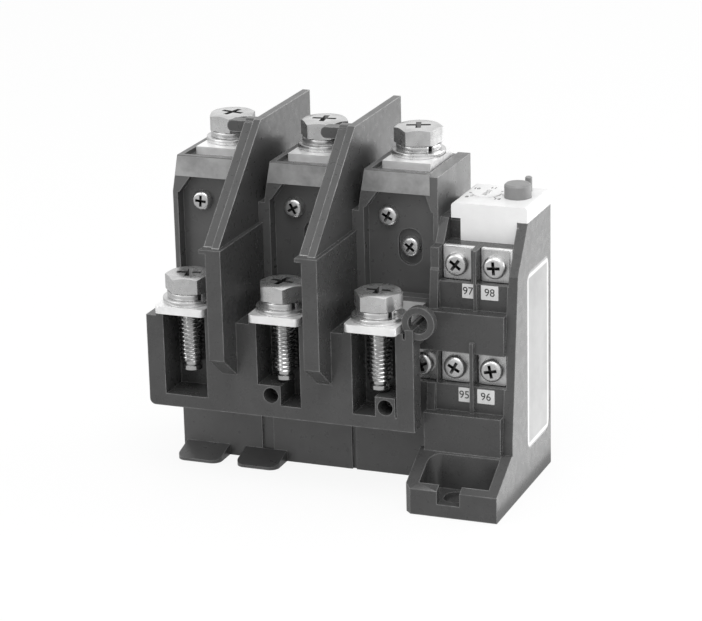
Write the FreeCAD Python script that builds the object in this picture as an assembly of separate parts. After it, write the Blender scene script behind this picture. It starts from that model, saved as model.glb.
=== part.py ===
import FreeCAD, Part
import math
import os

# Thermal overload relay, three poles, lying on its mounting face.
# Millimetres. +X to the viewer's right across the poles, +Y to the back, +Z up.
# Origin: centre of the bounding box, on the mounting face.

# ---- poles ----
POLE_PITCH = 23.0
POLE_1_X = -33.25
POLES = [POLE_1_X + POLE_PITCH * number for number in range(3)]
BARRIER_SHIFT = -0.5
BARRIERS = [x + POLE_PITCH / 2 + BARRIER_SHIFT for x in POLES[:2]]

# ---- outside planes ----
LEFT_X = POLES[0] - 9.5
FRONT_Y = -28.65
BACK_Y = 28.65
TOP_Z = 81.5
BLOCK_LEFT_X = LEFT_X + 0.1
BASE_LEFT_X = LEFT_X + 0.2
BLOCK_RIGHT_X = POLES[2] + 9.5
RIGHT_X = BLOCK_RIGHT_X + 20.5
HOOD_FRONT_Y = -4.25
HOUSING_BACK_Y = 18.35
CASE_BACK_Y = 14.0
BASE_TOP_Z = 17.5
SEAM = 0.1

# ---- main bolts, M6 with a 10 mm hexagon ----
LOAD_BOLT_Y = -17.65
LINE_BOLT_Y = 9.95
HEX_FLATS = 10.0
HEX_HEIGHT = 4.0
HEX_CROWN = 0.5
SHANK_R = 2.9
SHANK_NECK_R = 2.0
SHANK_TIP_R = 2.3
LOAD_SHANK_TIP_Z = 25.7
LINE_SHANK_LENGTH = 12.0
TIP_LENGTH = 1.6
NECK_LENGTH = 1.0
BOLT_RECESS_WIDTH = 1.3
BOLT_RECESS_LENGTH = 5.6
BOLT_RECESS_DEPTH = 1.6
FLAT_WASHER_R = 6.2
FLAT_WASHER_THICK = 1.2
SPRING_WASHER_R = 5.2
SPRING_WASHER_THICK = 1.4
WASHER_HOLE_R = 3.2
WASHER_GAP = 0.9
WASHER_GAP_TURN = -40

# ---- terminal plates ----
PLATE_THICK = 1.8
LOAD_SEAT_Z = 40.5
LINE_SEAT_Z = 71.4
LOAD_PLATE_WIDTH = 12.4
LOAD_PLATE_FRONT_Y = -24.25
LOAD_PLATE_BACK_Y = 1.2
LINE_PLATE_WIDTH = 11.5
LINE_PLATE_FRONT_Y = 1.5
LINE_PLATE_BACK_Y = 18.0
PLATE_CORNER_R = 1.2
PLATE_HOLE_R = 3.0
LEG_WIDTH = 4.0
LEG_FRONT_Y = 2.0

# ---- load block ----
LOAD_FRONT_Y = -21.65
LOAD_TOP_Z = 39.2
LOAD_CORNER_R = 1.4
RECESS_WIDTH = 10.4
RECESS_BACK_Y = -13.2
RECESS_FLOOR_Z = 20.5
WALL_THICK = 3.7
WALL_TOP_Z = 58.0
WALL_LOW_Z = 32.2
WALL_HEEL_Z = 15.0
CAP_LEFT = 3.4
CAP_HEIGHT = 0.9
SEAT_RIB = 0.8
END_WALL_THICK = 1.9
END_WALL_TOP_Z = 41.5
AUX_NOTCH_LEFT_X = BLOCK_RIGHT_X - 5.65
AUX_NOTCH_FRONT_Y = -17.4
AUX_NOTCH_TOP_Z = 37.0
EAR_X = BLOCK_RIGHT_X + 0.95
EAR_Z = 43.0
EAR_R = 3.8
EAR_HOLE_R = 2.3
EAR_FRONT_Y = -21.2
EAR_BACK_Y = -19.2
BLOCK_HOLES = [(POLES[1] - 2.1, 22.7), (POLES[2] + 2.5, 22.7)]
BLOCK_HOLE_R = 1.8
BOSS_REACH = 2.4
BLOCK_HOLE_DEPTH = 5.0
BLOCK_SCREW_R = 1.45
BLOCK_SCREW_HEIGHT = 1.4

# ---- line block ----
TOWER_HALF = 6.5
TOWER_LEFT = 9.5
TOWER_LEAN = 1.5
TOWER_LEAN_Z = 63.7
LIP_TOP_Z = LINE_SEAT_Z + 1.1
LIP_THICK = 1.2
TOWER_DECK_Z = 62.8
LINE_END_TOP_Z = LINE_SEAT_Z + 0.4
HOOD_BAND_Z = LINE_SEAT_Z - 3.9
HOOD_LEFT = 5.0
HOOD_SHOULDER = 7.9
HOOD_SHOULDER_Z = 63.6
HOOD_HALF = 8.3
HOOD_FLOOR_Z = 43.4
HOOD_DEPTH = 3.0
CHAMBER_HALF = 7.4
CHAMBER_FRONT_Y = 0.9
CHAMBER_BACK_Y = 12.2
CHAMBER_TOP_Z = 58.0
LEG_BOTTOM_Z = CHAMBER_TOP_Z - 8.0
BARRIER_GROOVE_Z = 57.0
BACK_RIB_WIDTH = 2.0
BACK_RIB_DEPTH = 1.2

# ---- pan screws of the hoods ----
PAN_R = 2.4
PAN_HEIGHT = 1.7
PAN_SHANK_R = 1.4
PAN_SHANK_LENGTH = 2.4
LOW_SHANK_LENGTH = 1.5
PAN_FLAT_SHARE = 0.72
CROSS_SHARE = 0.66
PAN_SLOT_WIDTH = 0.7
PAN_SLOT_DEPTH = 0.8
HOOD_SCREW_SHIFT = -3.2
HOOD_SCREW_Z = 61.4
LOW_SCREW_SHIFT = 1.7
LOW_SCREW_Z = 54.3
LOW_POCKET_HALF_X = 2.85
LOW_POCKET_HALF_Z = 4.3
LOW_POCKET_DEPTH = 1.0

# ---- phase barriers ----
BARRIER_THICK = 1.8
BARRIER_FRONT_Y = -27.15
BARRIER_PEAK_Y = -1.15
BARRIER_PEAK_Z = 81.3
BARRIER_TAIL_Z = 50.0
BARRIER_FLANGE_LEFT = 3.2
BARRIER_FLANGE_THICK = 1.2
BARRIER_RIDGE = 0.6
PEG_LENGTH = 7.5
PEG_HEIGHT = 2.7
PEG_DROP = 0.5
PEG_DEPTH = 2.8

# ---- mounting base ----
BASE_FLOOR = 2.2
BASE_CHAMBER_LEFT_X = POLES[0] - 7.15
SEAM_GROOVE_WIDTH = 1.0
SEAM_GROOVE_DEPTH = 0.6
WIDE_GROOVE_X = BARRIERS[0] + 1.35
WIDE_GROOVE_WIDTH = 2.8
PRONGS = [(POLES[0] - 8.5, POLES[0] + 2.4), (POLES[0] + 6.5, POLES[0] + 17.0)]
PRONG_FRONT_Y = -11.15
PRONG_ROOT_Z = 2.6
PRONG_TIP_Z = 0.7
PRONG_CORNER_R = 2.2

# ---- push bar and its channel ----
BAR_LEFT_X = POLES[0] - 4.75
BAR_RIGHT_X = BLOCK_RIGHT_X + 6.35
BAR_FRONT_Y = 3.4
BAR_BACK_Y = 7.6
BAR_LOW_Z = 8.6
BAR_TOP_Z = 11.6
BAR_CLEARANCE = 0.3
FINGER_THICK = 1.0
FINGER_TOP_Z = 23.0
FINGER_FRONT_Y = 3.7
FINGER_BACK_Y = 6.3
FINGER_SPACE = 0.6
GUIDE_RIB = 1.5

# ---- bimetals and heaters ----
BIMETAL_THICK = 1.0
BIMETAL_LOW_Z = 20.0
BIMETAL_TOP_Z = CHAMBER_TOP_Z - 2.0
WINDING_LOW_Z = 27.0
WINDING_TURNS = 6
WINDING_STEP = 3.2
WINDING_STRIP = 1.5
WINDING_THICK = 0.5

# ---- control case ----
CASE_LEFT_X = BLOCK_RIGHT_X
CASE_WALL_LEFT = 2.0
CASE_WALL_RIGHT = 2.4
CASE_TOP_Z = 62.4
CASE_BODY_FRONT_Y = -1.3
CAVITY_FRONT_Y = -3.4
CAVITY_BACK_Y = 12.4
CAVITY_LEFT_X = CASE_LEFT_X + CASE_WALL_LEFT
CAVITY_RIGHT_X = RIGHT_X - 2.0
CAVITY_FLOOR_Z = 3.0
WALL_PEAK_Z = 62.4
WALL_PEAK_Y = -2.65
WALL_BEND_Y = -10.05
WALL_BEND_Z = 52.1
CASE_HEEL_Y = -14.55
CASE_HEEL_Z = 15.0
UPPER_FACE_Y = -9.65
UPPER_TOP_Z = 57.3
UPPER_SILL_Z = 43.5
LOWER_FACE_Y = -12.9
LOWER_SILL_Z = 20.5
SKIRT_FACE_Y = -15.9
SHELF_Z = 46.0
SHELF_THICK = 2.0
SHELF_LEFT_X = CASE_LEFT_X + 11.75
SHELF_FRONT_Y = 1.0
WINDOW_MARGIN = 0.6

# ---- auxiliary terminals ----
UPPER_AUX_Z = UPPER_TOP_Z - 3.8
LOWER_AUX_Z = 30.5
UPPER_AUX = [(CASE_LEFT_X + reach, UPPER_AUX_Z) for reach in (5.7, 14.6)]
LOWER_AUX = [(CASE_LEFT_X + reach, LOWER_AUX_Z) for reach in (-1.6, 6.2, 14.8)]
AUX_HEAD_R = 2.7
AUX_HEAD_HEIGHT = 1.9
AUX_SLOT_WIDTH = 0.8
AUX_SLOT_DEPTH = 0.9
AUX_WASHER_HALF_X = 3.1
AUX_WASHER_HALF_Z = 3.65
AUX_WASHER_THICK = 0.8
AUX_WASHER_CORNER_R = 0.5
AUX_PLATE_HALF_X = 3.6
AUX_PLATE_HALF_Z = 3.75
AUX_PLATE_THICK = 1.0
AUX_SHANK_R = 1.45
AUX_SHANK_LENGTH = 2.2
AUX_POCKET_HALF_X = 3.75
AUX_POCKET_HALF_Z = 3.8
PARTITION_X = CASE_LEFT_X + 10.65
PARTITION_THICK = 0.9
PARTITION_REACH = 0.8
TILE_SPANS = [(CASE_LEFT_X + 7.4, CASE_LEFT_X + 10.1), (CASE_LEFT_X + 11.8, CASE_LEFT_X + 15.8)]
TILE_HEIGHT = 3.3
UPPER_TILE_Z = 46.2
LOWER_TILE_Z = 22.9
TILE_THICK = 0.5
TILE_PROUD = 0.2

# ---- foot with its open slot ----
FOOT_LEFT_X = CASE_LEFT_X - 1.2
FOOT_RIGHT_X = RIGHT_X
FOOT_FRONT_Y = -26.15
FOOT_RIM_Z = 6.0
FOOT_BACK_Y = -15.35
FOOT_BACK_Z = 11.8
FOOT_FLOOR_Z = 3.0
FOOT_POCKET_LEFT_X = FOOT_LEFT_X + 2.95
FOOT_POCKET_RIGHT_X = FOOT_RIGHT_X - 2.45
FOOT_POCKET_FRONT_Y = -24.3
FOOT_POCKET_BACK_Y = -16.4
FOOT_POCKET_R = 2.6
FOOT_SLOT_X = CASE_LEFT_X + 9.15
FOOT_SLOT_WIDTH = 5.3
FOOT_SLOT_FRONT_Y = -21.4
FOOT_SLOT_BACK_Y = -20.2
FOOT_CHAMFER = 1.4

# ---- white cover, dial, button and rod ----
COVER_LEFT_X = CASE_LEFT_X + 2.5
COVER_FRONT_Y = -2.65
COVER_TOP_Z = 65.9
COVER_SHELL = 1.5
COVER_WALL = 1.3
COVER_CORNER_R = 0.8
TAB_LEFT_X = COVER_LEFT_X + 2.2
TAB_RIGHT_X = RIGHT_X - 2.6
TAB_LOW_Z = UPPER_TOP_Z
TAB_THICK = 1.3
DIAL_X = CASE_LEFT_X + 7.95
DIAL_Y = 6.35
DIAL_R = 3.3
DIAL_LIP_R = 3.8
DIAL_LIP_THICK = 0.7
DIAL_TOP_Z = 66.2
DIAL_STEM_R = 2.0
DIAL_SLOT_WIDTH = 1.2
DIAL_SLOT_DEPTH = 0.9
CAM_R = 3.2
CAM_OFFSET = 0.9
CAM_LOW_Z = 52.0
CAM_HEIGHT = 3.0
FIT_CLEARANCE = 0.06
BUTTON_X = CASE_LEFT_X + 15.4
BUTTON_Y = 5.85
BUTTON_R = 3.05
BUTTON_TOP_Z = 69.1
BUTTON_LOW_Z = 60.0
BUTTON_STEM_R = 1.3
BUTTON_STEM_Z = 43.0
BUTTON_EDGE = 0.4
SPRING_R = 2.2
SPRING_WIRE_R = 0.3
SPRING_WIRE_SIDES = 6
SPRING_TURNS = 3
ROD_X = CASE_LEFT_X + 16.2
ROD_Y = 11.35
ROD_R = 0.8
ROD_TOP_Z = 69.3
ROD_LOW_Z = 56.0
ROD_EDGE = 0.25

# ---- trip lever and contacts ----
PIVOT_X = CASE_LEFT_X + 8.75
PIVOT_Z = 26.0
PIN_R = 1.0
PIN_FRONT_Y = -4.4
PIN_BACK_Y = 13.4
HUB_R = 2.4
LEVER_FRONT_Y = -2.6
LEVER_BACK_Y = 7.4
ARM_THICK = 1.6
ARM_GAP = 0.4
ARM_LOW_Z = 8.8
ARM_TOP_Z = 42.0
ARM_BACK_Y = 0.4
CARRIER_LOW_Z = 37.5
CARRIER_TOP_Z = 42.5
CARRIER_BACK_Y = 0.6
RAIL_LEFT_X = CASE_LEFT_X + 4.75
RAIL_RIGHT_X = CASE_LEFT_X + 5.95
RAIL_THICK = 1.0
RAIL_SPACE = 0.3
STRIP_HEIGHT = 9.0
STRIP_THICK = 0.5
STRIP_WIDTH = 2.0
CONTACT_R = 1.0
CONTACT_THICK = 0.6
CONTACT_GAP = 1.1

# ---- side plate ----
SIDE_PLATE_FRONT_Y = -3.65
SIDE_PLATE_BACK_Y = 13.0
SIDE_PLATE_LOW_Z = 9.0
SIDE_PLATE_TOP_Z = 51.0
SIDE_PLATE_R = 3.0
SIDE_PLATE_THICK = 0.2
SIDE_PLATE_DEPTH = 0.3

# ---- small overrun so that cuts pass a face ----
PAST = 1.0


# ---- building blocks ----
def box(x0, x1, y0, y1, z0, z1):
    """Block between two corners."""
    return Part.makeBox(x1 - x0, y1 - y0, z1 - z0, FreeCAD.Vector(x0, y0, z0))


def rod(x, y, z0, z1, radius):
    """Upright cylinder."""
    return Part.makeCylinder(radius, z1 - z0, FreeCAD.Vector(x, y, z0))


def rod_y(x, z, y0, y1, radius):
    """Cylinder that lies along Y."""
    return Part.makeCylinder(radius, y1 - y0, FreeCAD.Vector(x, y0, z), FreeCAD.Vector(0, 1, 0))


def cone(x, y, z0, z1, radius_0, radius_1):
    """Upright frustum."""
    return Part.makeCone(radius_0, radius_1, z1 - z0, FreeCAD.Vector(x, y, z0))


def in_plane(plane, u, v, w):
    """Point at (u, v) of the named plane, w away from it."""
    if plane == "xy":
        return FreeCAD.Vector(u, v, w)
    if plane == "xz":
        return FreeCAD.Vector(u, w, v)
    return FreeCAD.Vector(w, u, v)


def rounded_corner(before, at, after, radius):
    """Start, middle and end of the arc that rounds one corner."""
    to_before = (before - at).normalize()
    to_after = (after - at).normalize()
    half_angle = to_before.getAngle(to_after) / 2
    reach = radius / math.tan(half_angle)
    inward = (to_before + to_after).normalize()
    centre = at + inward * (radius / math.sin(half_angle))
    return at + to_before * reach, centre - inward * radius, at + to_after * reach


def outline_face(corners, plane, w):
    """Flat face from corners (u, v) or, where rounded, (u, v, radius)."""
    points = [in_plane(plane, corner[0], corner[1], w) for corner in corners]
    count = len(points)
    spans = []
    arcs = []
    for number in range(count):
        at = points[number]
        if len(corners[number]) > 2:
            arc = rounded_corner(points[number - 1], at, points[(number + 1) % count], corners[number][2])
            arcs.append(arc)
            spans.append((arc[0], arc[2]))
        else:
            arcs.append(None)
            spans.append((at, at))
    edges = []
    for number in range(count):
        if arcs[number]:
            edges.append(Part.Arc(*arcs[number]).toShape())
        start = spans[number][1]
        end = spans[(number + 1) % count][0]
        if start.distanceToPoint(end) > 1e-6:
            edges.append(Part.makeLine(start, end))
    return Part.Face(Part.Wire(edges))


def prism(corners, plane, w0, w1):
    """Straight prism over an outline, from w0 to w1."""
    along = in_plane(plane, 0, 0, w1) - in_plane(plane, 0, 0, w0)
    return outline_face(corners, plane, w0).extrude(along)


def rounded_plate(u0, u1, v0, v1, radius, plane, w0, w1):
    """Plate with four rounded corners."""
    corners = [(u0, v0, radius), (u1, v0, radius), (u1, v1, radius), (u0, v1, radius)]
    return prism(corners, plane, w0, w1)


def joined(shapes):
    """One solid from shapes that touch or overlap."""
    return shapes[0].fuse(shapes[1:]).removeSplitter()


def without(shape, tools):
    """Shape with every tool cut away."""
    for tool in tools:
        shape = shape.cut(tool)
    return shape.removeSplitter()


def save(name, shape):
    """Write one node as a STEP file."""
    shape.exportStep(os.path.join("parts", name + ".step"))


def save_group(name, shapes):
    """Write separate solids as one node."""
    save(name, Part.Compound(shapes))


# ---- mounting base ----
def prong(span):
    """Ramped prong of the base with rounded front corners."""
    x0, x1 = span
    wedge = prism(
        [(HOOD_FRONT_Y, 0), (PRONG_FRONT_Y, 0), (PRONG_FRONT_Y, PRONG_TIP_Z), (HOOD_FRONT_Y, PRONG_ROOT_Z)],
        "yz", x0, x1)
    plan = prism(
        [(x0, PRONG_FRONT_Y, PRONG_CORNER_R), (x1, PRONG_FRONT_Y, PRONG_CORNER_R),
         (x1, HOOD_FRONT_Y), (x0, HOOD_FRONT_Y)],
        "xy", 0, PRONG_ROOT_Z)
    return wedge.common(plan)


def guide_rib(x):
    """Rib across the base's chamber with the push bar's slot."""
    rib = box(x - GUIDE_RIB / 2, x + GUIDE_RIB / 2, CHAMBER_FRONT_Y, CHAMBER_BACK_Y, BASE_FLOOR, BASE_TOP_Z)
    slot = box(
        x - PAST - GUIDE_RIB, x + PAST + GUIDE_RIB,
        BAR_FRONT_Y - BAR_CLEARANCE, BAR_BACK_Y + BAR_CLEARANCE,
        BAR_LOW_Z - BAR_CLEARANCE, BAR_TOP_Z + BAR_CLEARANCE)
    return rib.cut(slot)


def mounting_base():
    """Floor and walls under the poles, open to the case on the right."""
    body = box(BASE_LEFT_X, BLOCK_RIGHT_X, HOOD_FRONT_Y, HOUSING_BACK_Y, 0, BASE_TOP_Z)
    chamber = box(
        BASE_CHAMBER_LEFT_X, BLOCK_RIGHT_X + PAST,
        CHAMBER_FRONT_Y, CHAMBER_BACK_Y, BASE_FLOOR, BASE_TOP_Z + PAST)
    half = WIDE_GROOVE_WIDTH / 2
    wide = box(
        WIDE_GROOVE_X - half, WIDE_GROOVE_X + half,
        HOOD_FRONT_Y - PAST, HOOD_FRONT_Y + SEAM_GROOVE_DEPTH, -PAST, BASE_TOP_Z + PAST)
    narrow_x = BARRIERS[1]
    half = SEAM_GROOVE_WIDTH / 2
    narrow = box(
        narrow_x - half, narrow_x + half,
        HOOD_FRONT_Y - PAST, HOOD_FRONT_Y + SEAM_GROOVE_DEPTH, -PAST, BASE_TOP_Z + PAST)
    shell = without(body, [chamber, wide, narrow])
    return joined([shell] + [prong(span) for span in PRONGS] + [guide_rib(x) for x in BARRIERS])


# ---- load block ----
def inter_pole_wall(x):
    """Wall between two load terminals, with its cap and sloping underside."""
    half = WALL_THICK / 2
    wall = prism(
        [(FRONT_Y, WALL_LOW_Z), (LOAD_FRONT_Y, WALL_HEEL_Z), (LOAD_FRONT_Y, BASE_TOP_Z),
         (HOOD_FRONT_Y, BASE_TOP_Z), (HOOD_FRONT_Y, WALL_TOP_Z), (FRONT_Y, WALL_TOP_Z)],
        "yz", x - half, x + half)
    cap = box(x - CAP_LEFT, x + half, FRONT_Y, HOOD_FRONT_Y, WALL_TOP_Z - CAP_HEIGHT, WALL_TOP_Z)
    return joined([wall, cap])


def screw_boss(hole_x, hole_z):
    """Boss in the recess's corner that holds one of the block's own screws."""
    x0 = hole_x - BOSS_REACH
    x1 = hole_x + BOSS_REACH
    for x in POLES:
        if hole_x < x < x1:
            x0 = x - RECESS_WIDTH / 2
        if x0 < x < hole_x:
            x1 = x + RECESS_WIDTH / 2
    return box(x0, x1, LOAD_FRONT_Y - PAST, RECESS_BACK_Y, RECESS_FLOOR_Z, hole_z + BOSS_REACH)


def shank_recess(x):
    """Open-front space for the hanging end of one load bolt."""
    half = RECESS_WIDTH / 2
    space = box(x - half, x + half, LOAD_FRONT_Y - PAST, RECESS_BACK_Y, RECESS_FLOOR_Z, LOAD_SEAT_Z + PAST)
    return without(space, [screw_boss(hole_x, hole_z) for hole_x, hole_z in BLOCK_HOLES])


def load_seats():
    """Raised seats that carry the load plates."""
    seats = []
    for x in POLES:
        half = LOAD_PLATE_WIDTH / 2 + SEAT_RIB
        seats.append(box(x - half, x + half, LOAD_FRONT_Y, HOOD_FRONT_Y, LOAD_TOP_Z - PAST, LOAD_SEAT_Z))
    return seats


def ear():
    """Ring-shaped ear at the right end of the load block."""
    ring = rod_y(EAR_X, EAR_Z, EAR_FRONT_Y, EAR_BACK_Y, EAR_R)
    foot = box(
        BLOCK_RIGHT_X - END_WALL_THICK - SEAM, BLOCK_RIGHT_X - SEAM,
        EAR_FRONT_Y, EAR_BACK_Y, END_WALL_TOP_Z - PAST, EAR_Z + EAR_HOLE_R)
    hole = rod_y(EAR_X, EAR_Z, EAR_FRONT_Y - PAST, EAR_BACK_Y + PAST, EAR_HOLE_R)
    return joined([ring, foot]).cut(hole)


def load_block():
    """Load-side terminal block."""
    right = BLOCK_RIGHT_X - SEAM
    body = prism(
        [(BLOCK_LEFT_X, BASE_TOP_Z, LOAD_CORNER_R), (right, BASE_TOP_Z), (right, LOAD_TOP_Z),
         (BLOCK_LEFT_X, LOAD_TOP_Z)],
        "xz", LOAD_FRONT_Y, HOOD_FRONT_Y)
    end_wall = box(
        right - END_WALL_THICK, right, LOAD_FRONT_Y, AUX_NOTCH_FRONT_Y, LOAD_TOP_Z - PAST, END_WALL_TOP_Z)
    aux_notch = box(
        AUX_NOTCH_LEFT_X, right + PAST, AUX_NOTCH_FRONT_Y, HOOD_FRONT_Y + PAST,
        BASE_TOP_Z - PAST, AUX_NOTCH_TOP_Z)
    holes = []
    for x, z in BLOCK_HOLES:
        holes.append(rod_y(x, z, LOAD_FRONT_Y - PAST, LOAD_FRONT_Y + BLOCK_HOLE_DEPTH, BLOCK_HOLE_R))
    block = joined([body, end_wall] + load_seats())
    block = without(block, [shank_recess(x) for x in POLES] + [aux_notch] + holes)
    return joined([block, ear()] + [inter_pole_wall(x) for x in BARRIERS])


def block_screws():
    """Small screws at the bottom of the load block's front holes."""
    screws = []
    for x, z in BLOCK_HOLES:
        back = LOAD_FRONT_Y + BLOCK_HOLE_DEPTH
        screws.append(rod_y(x, z, back - BLOCK_SCREW_HEIGHT, back, BLOCK_SCREW_R))
    return screws


# ---- line block ----
def tower(x):
    """Tower of one pole with its leaning left side, before the seat is sunk in."""
    left = x - TOWER_LEFT
    right = x + TOWER_HALF
    return prism(
        [(left, BASE_TOP_Z), (right, BASE_TOP_Z), (right, LIP_TOP_Z), (left + TOWER_LEAN, LIP_TOP_Z),
         (left, TOWER_LEAN_Z)],
        "xz", HOOD_FRONT_Y, HOUSING_BACK_Y)


def plate_seat(x):
    """Space over the seat, inside the tower's front and left lips."""
    left = x - TOWER_LEFT + TOWER_LEAN + LIP_THICK
    return box(left, x + TOWER_HALF + PAST, HOOD_FRONT_Y + LIP_THICK, HOUSING_BACK_Y + PAST, LINE_SEAT_Z,
               LIP_TOP_Z + PAST)


def line_body():
    """Towers, deck and end wall before the cuts."""
    deck = box(LEFT_X, BLOCK_RIGHT_X, HOOD_FRONT_Y, HOUSING_BACK_Y, BASE_TOP_Z, TOWER_DECK_Z)
    towers = joined([deck] + [tower(x) for x in POLES])
    end_wall = box(
        POLES[2] + TOWER_HALF, BLOCK_RIGHT_X, HOOD_FRONT_Y, HOUSING_BACK_Y, BASE_TOP_Z, LINE_END_TOP_Z)
    return joined([without(towers, [plate_seat(x) for x in POLES]), end_wall])


def hood_recess(x):
    """Shallow recess below one hood's front band."""
    floor = HOOD_FLOOR_Z
    return prism(
        [(x - HOOD_LEFT, HOOD_BAND_Z), (x - HOOD_SHOULDER, HOOD_SHOULDER_Z), (x - HOOD_HALF, HOOD_SHOULDER_Z),
         (x - HOOD_HALF, floor), (x + HOOD_HALF, floor), (x + HOOD_HALF, HOOD_SHOULDER_Z),
         (x + HOOD_SHOULDER, HOOD_SHOULDER_Z), (x + TOWER_HALF, HOOD_BAND_Z)],
        "xz", HOOD_FRONT_Y - PAST, HOOD_FRONT_Y + HOOD_DEPTH)


def line_openings(x):
    """Chamber, bolt hole, plate leg slot and load plate slot of one pole."""
    half = LOAD_PLATE_WIDTH / 2
    leg = BIMETAL_THICK / 2
    return [
        box(x - CHAMBER_HALF, x + CHAMBER_HALF, CHAMBER_FRONT_Y, CHAMBER_BACK_Y, BASE_TOP_Z - PAST, CHAMBER_TOP_Z),
        rod(x, LINE_BOLT_Y, LINE_SEAT_Z - LINE_SHANK_LENGTH, LINE_SEAT_Z + PAST, PLATE_HOLE_R),
        box(x + leg, x + leg + PLATE_THICK, LEG_FRONT_Y, LEG_FRONT_Y + LEG_WIDTH, CHAMBER_TOP_Z - PAST,
            LINE_SEAT_Z + PAST),
        box(x - half, x + half, HOOD_FRONT_Y - PAST, CHAMBER_FRONT_Y + PAST, LOAD_SEAT_Z, LOAD_SEAT_Z + PLATE_THICK),
    ]


def low_pocket(x):
    """Oval pocket of the lower screw."""
    centre = x + LOW_SCREW_SHIFT
    back = HOOD_FRONT_Y + HOOD_DEPTH + LOW_POCKET_DEPTH
    radius = LOW_POCKET_HALF_X - SEAM
    return rounded_plate(
        centre - LOW_POCKET_HALF_X, centre + LOW_POCKET_HALF_X,
        LOW_SCREW_Z - LOW_POCKET_HALF_Z, LOW_SCREW_Z + LOW_POCKET_HALF_Z,
        radius, "xz", HOOD_FRONT_Y, back)


def line_block():
    """Line-side housing."""
    tools = []
    for x, z, seat, length in heater_screw_places():
        tools.append(rod_y(x, z, seat - PAST, seat + length + FIT_CLEARANCE, PAN_SHANK_R + FIT_CLEARANCE))
    for x in POLES:
        tools += [hood_recess(x)] + line_openings(x)
    for x in POLES[1:]:
        tools.append(low_pocket(x))
    half = BARRIER_THICK / 2
    for x in BARRIERS:
        tools.append(
            box(x - half, x + half, HOOD_FRONT_Y - PAST, HOUSING_BACK_Y + PAST, BARRIER_GROOVE_Z, TOWER_DECK_Z + PAST))
    ribs = []
    for x in POLES:
        ribs.append(
            box(x - BACK_RIB_WIDTH / 2, x + BACK_RIB_WIDTH / 2, HOUSING_BACK_Y, HOUSING_BACK_Y + BACK_RIB_DEPTH,
                BASE_TOP_Z, TOWER_LEAN_Z))
    return joined([without(line_body(), tools)] + ribs)


def pan_screw(x, z, seat_y, head_r, head_height, slot_width, slot_depth, shank_r, shank_length):
    """Pan head screw that faces the front, with a cross recess."""
    top = seat_y - head_height
    middle = seat_y - head_height / 2
    head = joined([
        rod_y(x, z, middle, seat_y, head_r),
        Part.makeCone(head_r * PAN_FLAT_SHARE, head_r, middle - top, FreeCAD.Vector(x, top, z),
                      FreeCAD.Vector(0, 1, 0)),
    ])
    half = slot_width / 2
    reach = head_r * CROSS_SHARE
    slot = box(x - reach, x + reach, top - PAST, top + slot_depth, z - half, z + half)
    cross = box(x - half, x + half, top - PAST, top + slot_depth, z - reach, z + reach)
    shank = rod_y(x, z, seat_y, seat_y + shank_length, shank_r)
    return joined([without(head, [slot, cross]), shank])


def heater_screw_places():
    """Axis, seat and shank length of each pan screw in the hoods."""
    seat = HOOD_FRONT_Y + HOOD_DEPTH
    places = [(x + HOOD_SCREW_SHIFT, HOOD_SCREW_Z, seat, PAN_SHANK_LENGTH) for x in POLES]
    for x in POLES[1:]:
        places.append((x + LOW_SCREW_SHIFT, LOW_SCREW_Z, seat + LOW_POCKET_DEPTH, LOW_SHANK_LENGTH))
    return places


def heater_screws():
    """Pan screws in the hood recesses."""
    shapes = []
    for x, z, seat, length in heater_screw_places():
        shapes.append(
            pan_screw(x, z, seat, PAN_R, PAN_HEIGHT, PAN_SLOT_WIDTH, PAN_SLOT_DEPTH, PAN_SHANK_R, length))
    return shapes


# ---- phase barriers ----
def phase_barrier(x):
    """Fin with a flange along its sloping front edge and a peg at the peak."""
    half = BARRIER_THICK / 2
    seat = WALL_TOP_Z
    web = prism(
        [(BARRIER_FRONT_Y, seat), (HOOD_FRONT_Y, seat), (HOOD_FRONT_Y, BARRIER_GROOVE_Z),
         (HOUSING_BACK_Y, BARRIER_GROOVE_Z), (HOUSING_BACK_Y, BARRIER_TAIL_Z), (BACK_Y, BARRIER_TAIL_Z),
         (BACK_Y, TOP_Z), (BARRIER_PEAK_Y, BARRIER_PEAK_Z)],
        "yz", x - half, x + half)
    slope_y = BARRIER_PEAK_Y - BARRIER_FRONT_Y
    slope_z = BARRIER_PEAK_Z - seat
    length = math.hypot(slope_y, slope_z)
    front = BARRIER_RIDGE * length / slope_z
    back = (BARRIER_RIDGE + BARRIER_FLANGE_THICK) * length / slope_z
    flange = prism(
        [(BARRIER_FRONT_Y + front, seat), (BARRIER_PEAK_Y + front, BARRIER_PEAK_Z),
         (BARRIER_PEAK_Y + back, BARRIER_PEAK_Z), (BARRIER_FRONT_Y + back, seat)],
        "yz", x - BARRIER_FLANGE_LEFT, x + half)
    top = BARRIER_PEAK_Z - PEG_DROP
    peg_r = PEG_HEIGHT / 2 - SEAM
    peg = prism(
        [(x, top), (x - PEG_LENGTH, top, peg_r), (x - PEG_LENGTH, top - PEG_HEIGHT, peg_r), (x, top - PEG_HEIGHT)],
        "xz", BARRIER_PEAK_Y, BARRIER_PEAK_Y + PEG_DEPTH)
    return joined([web, flange, peg])


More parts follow.
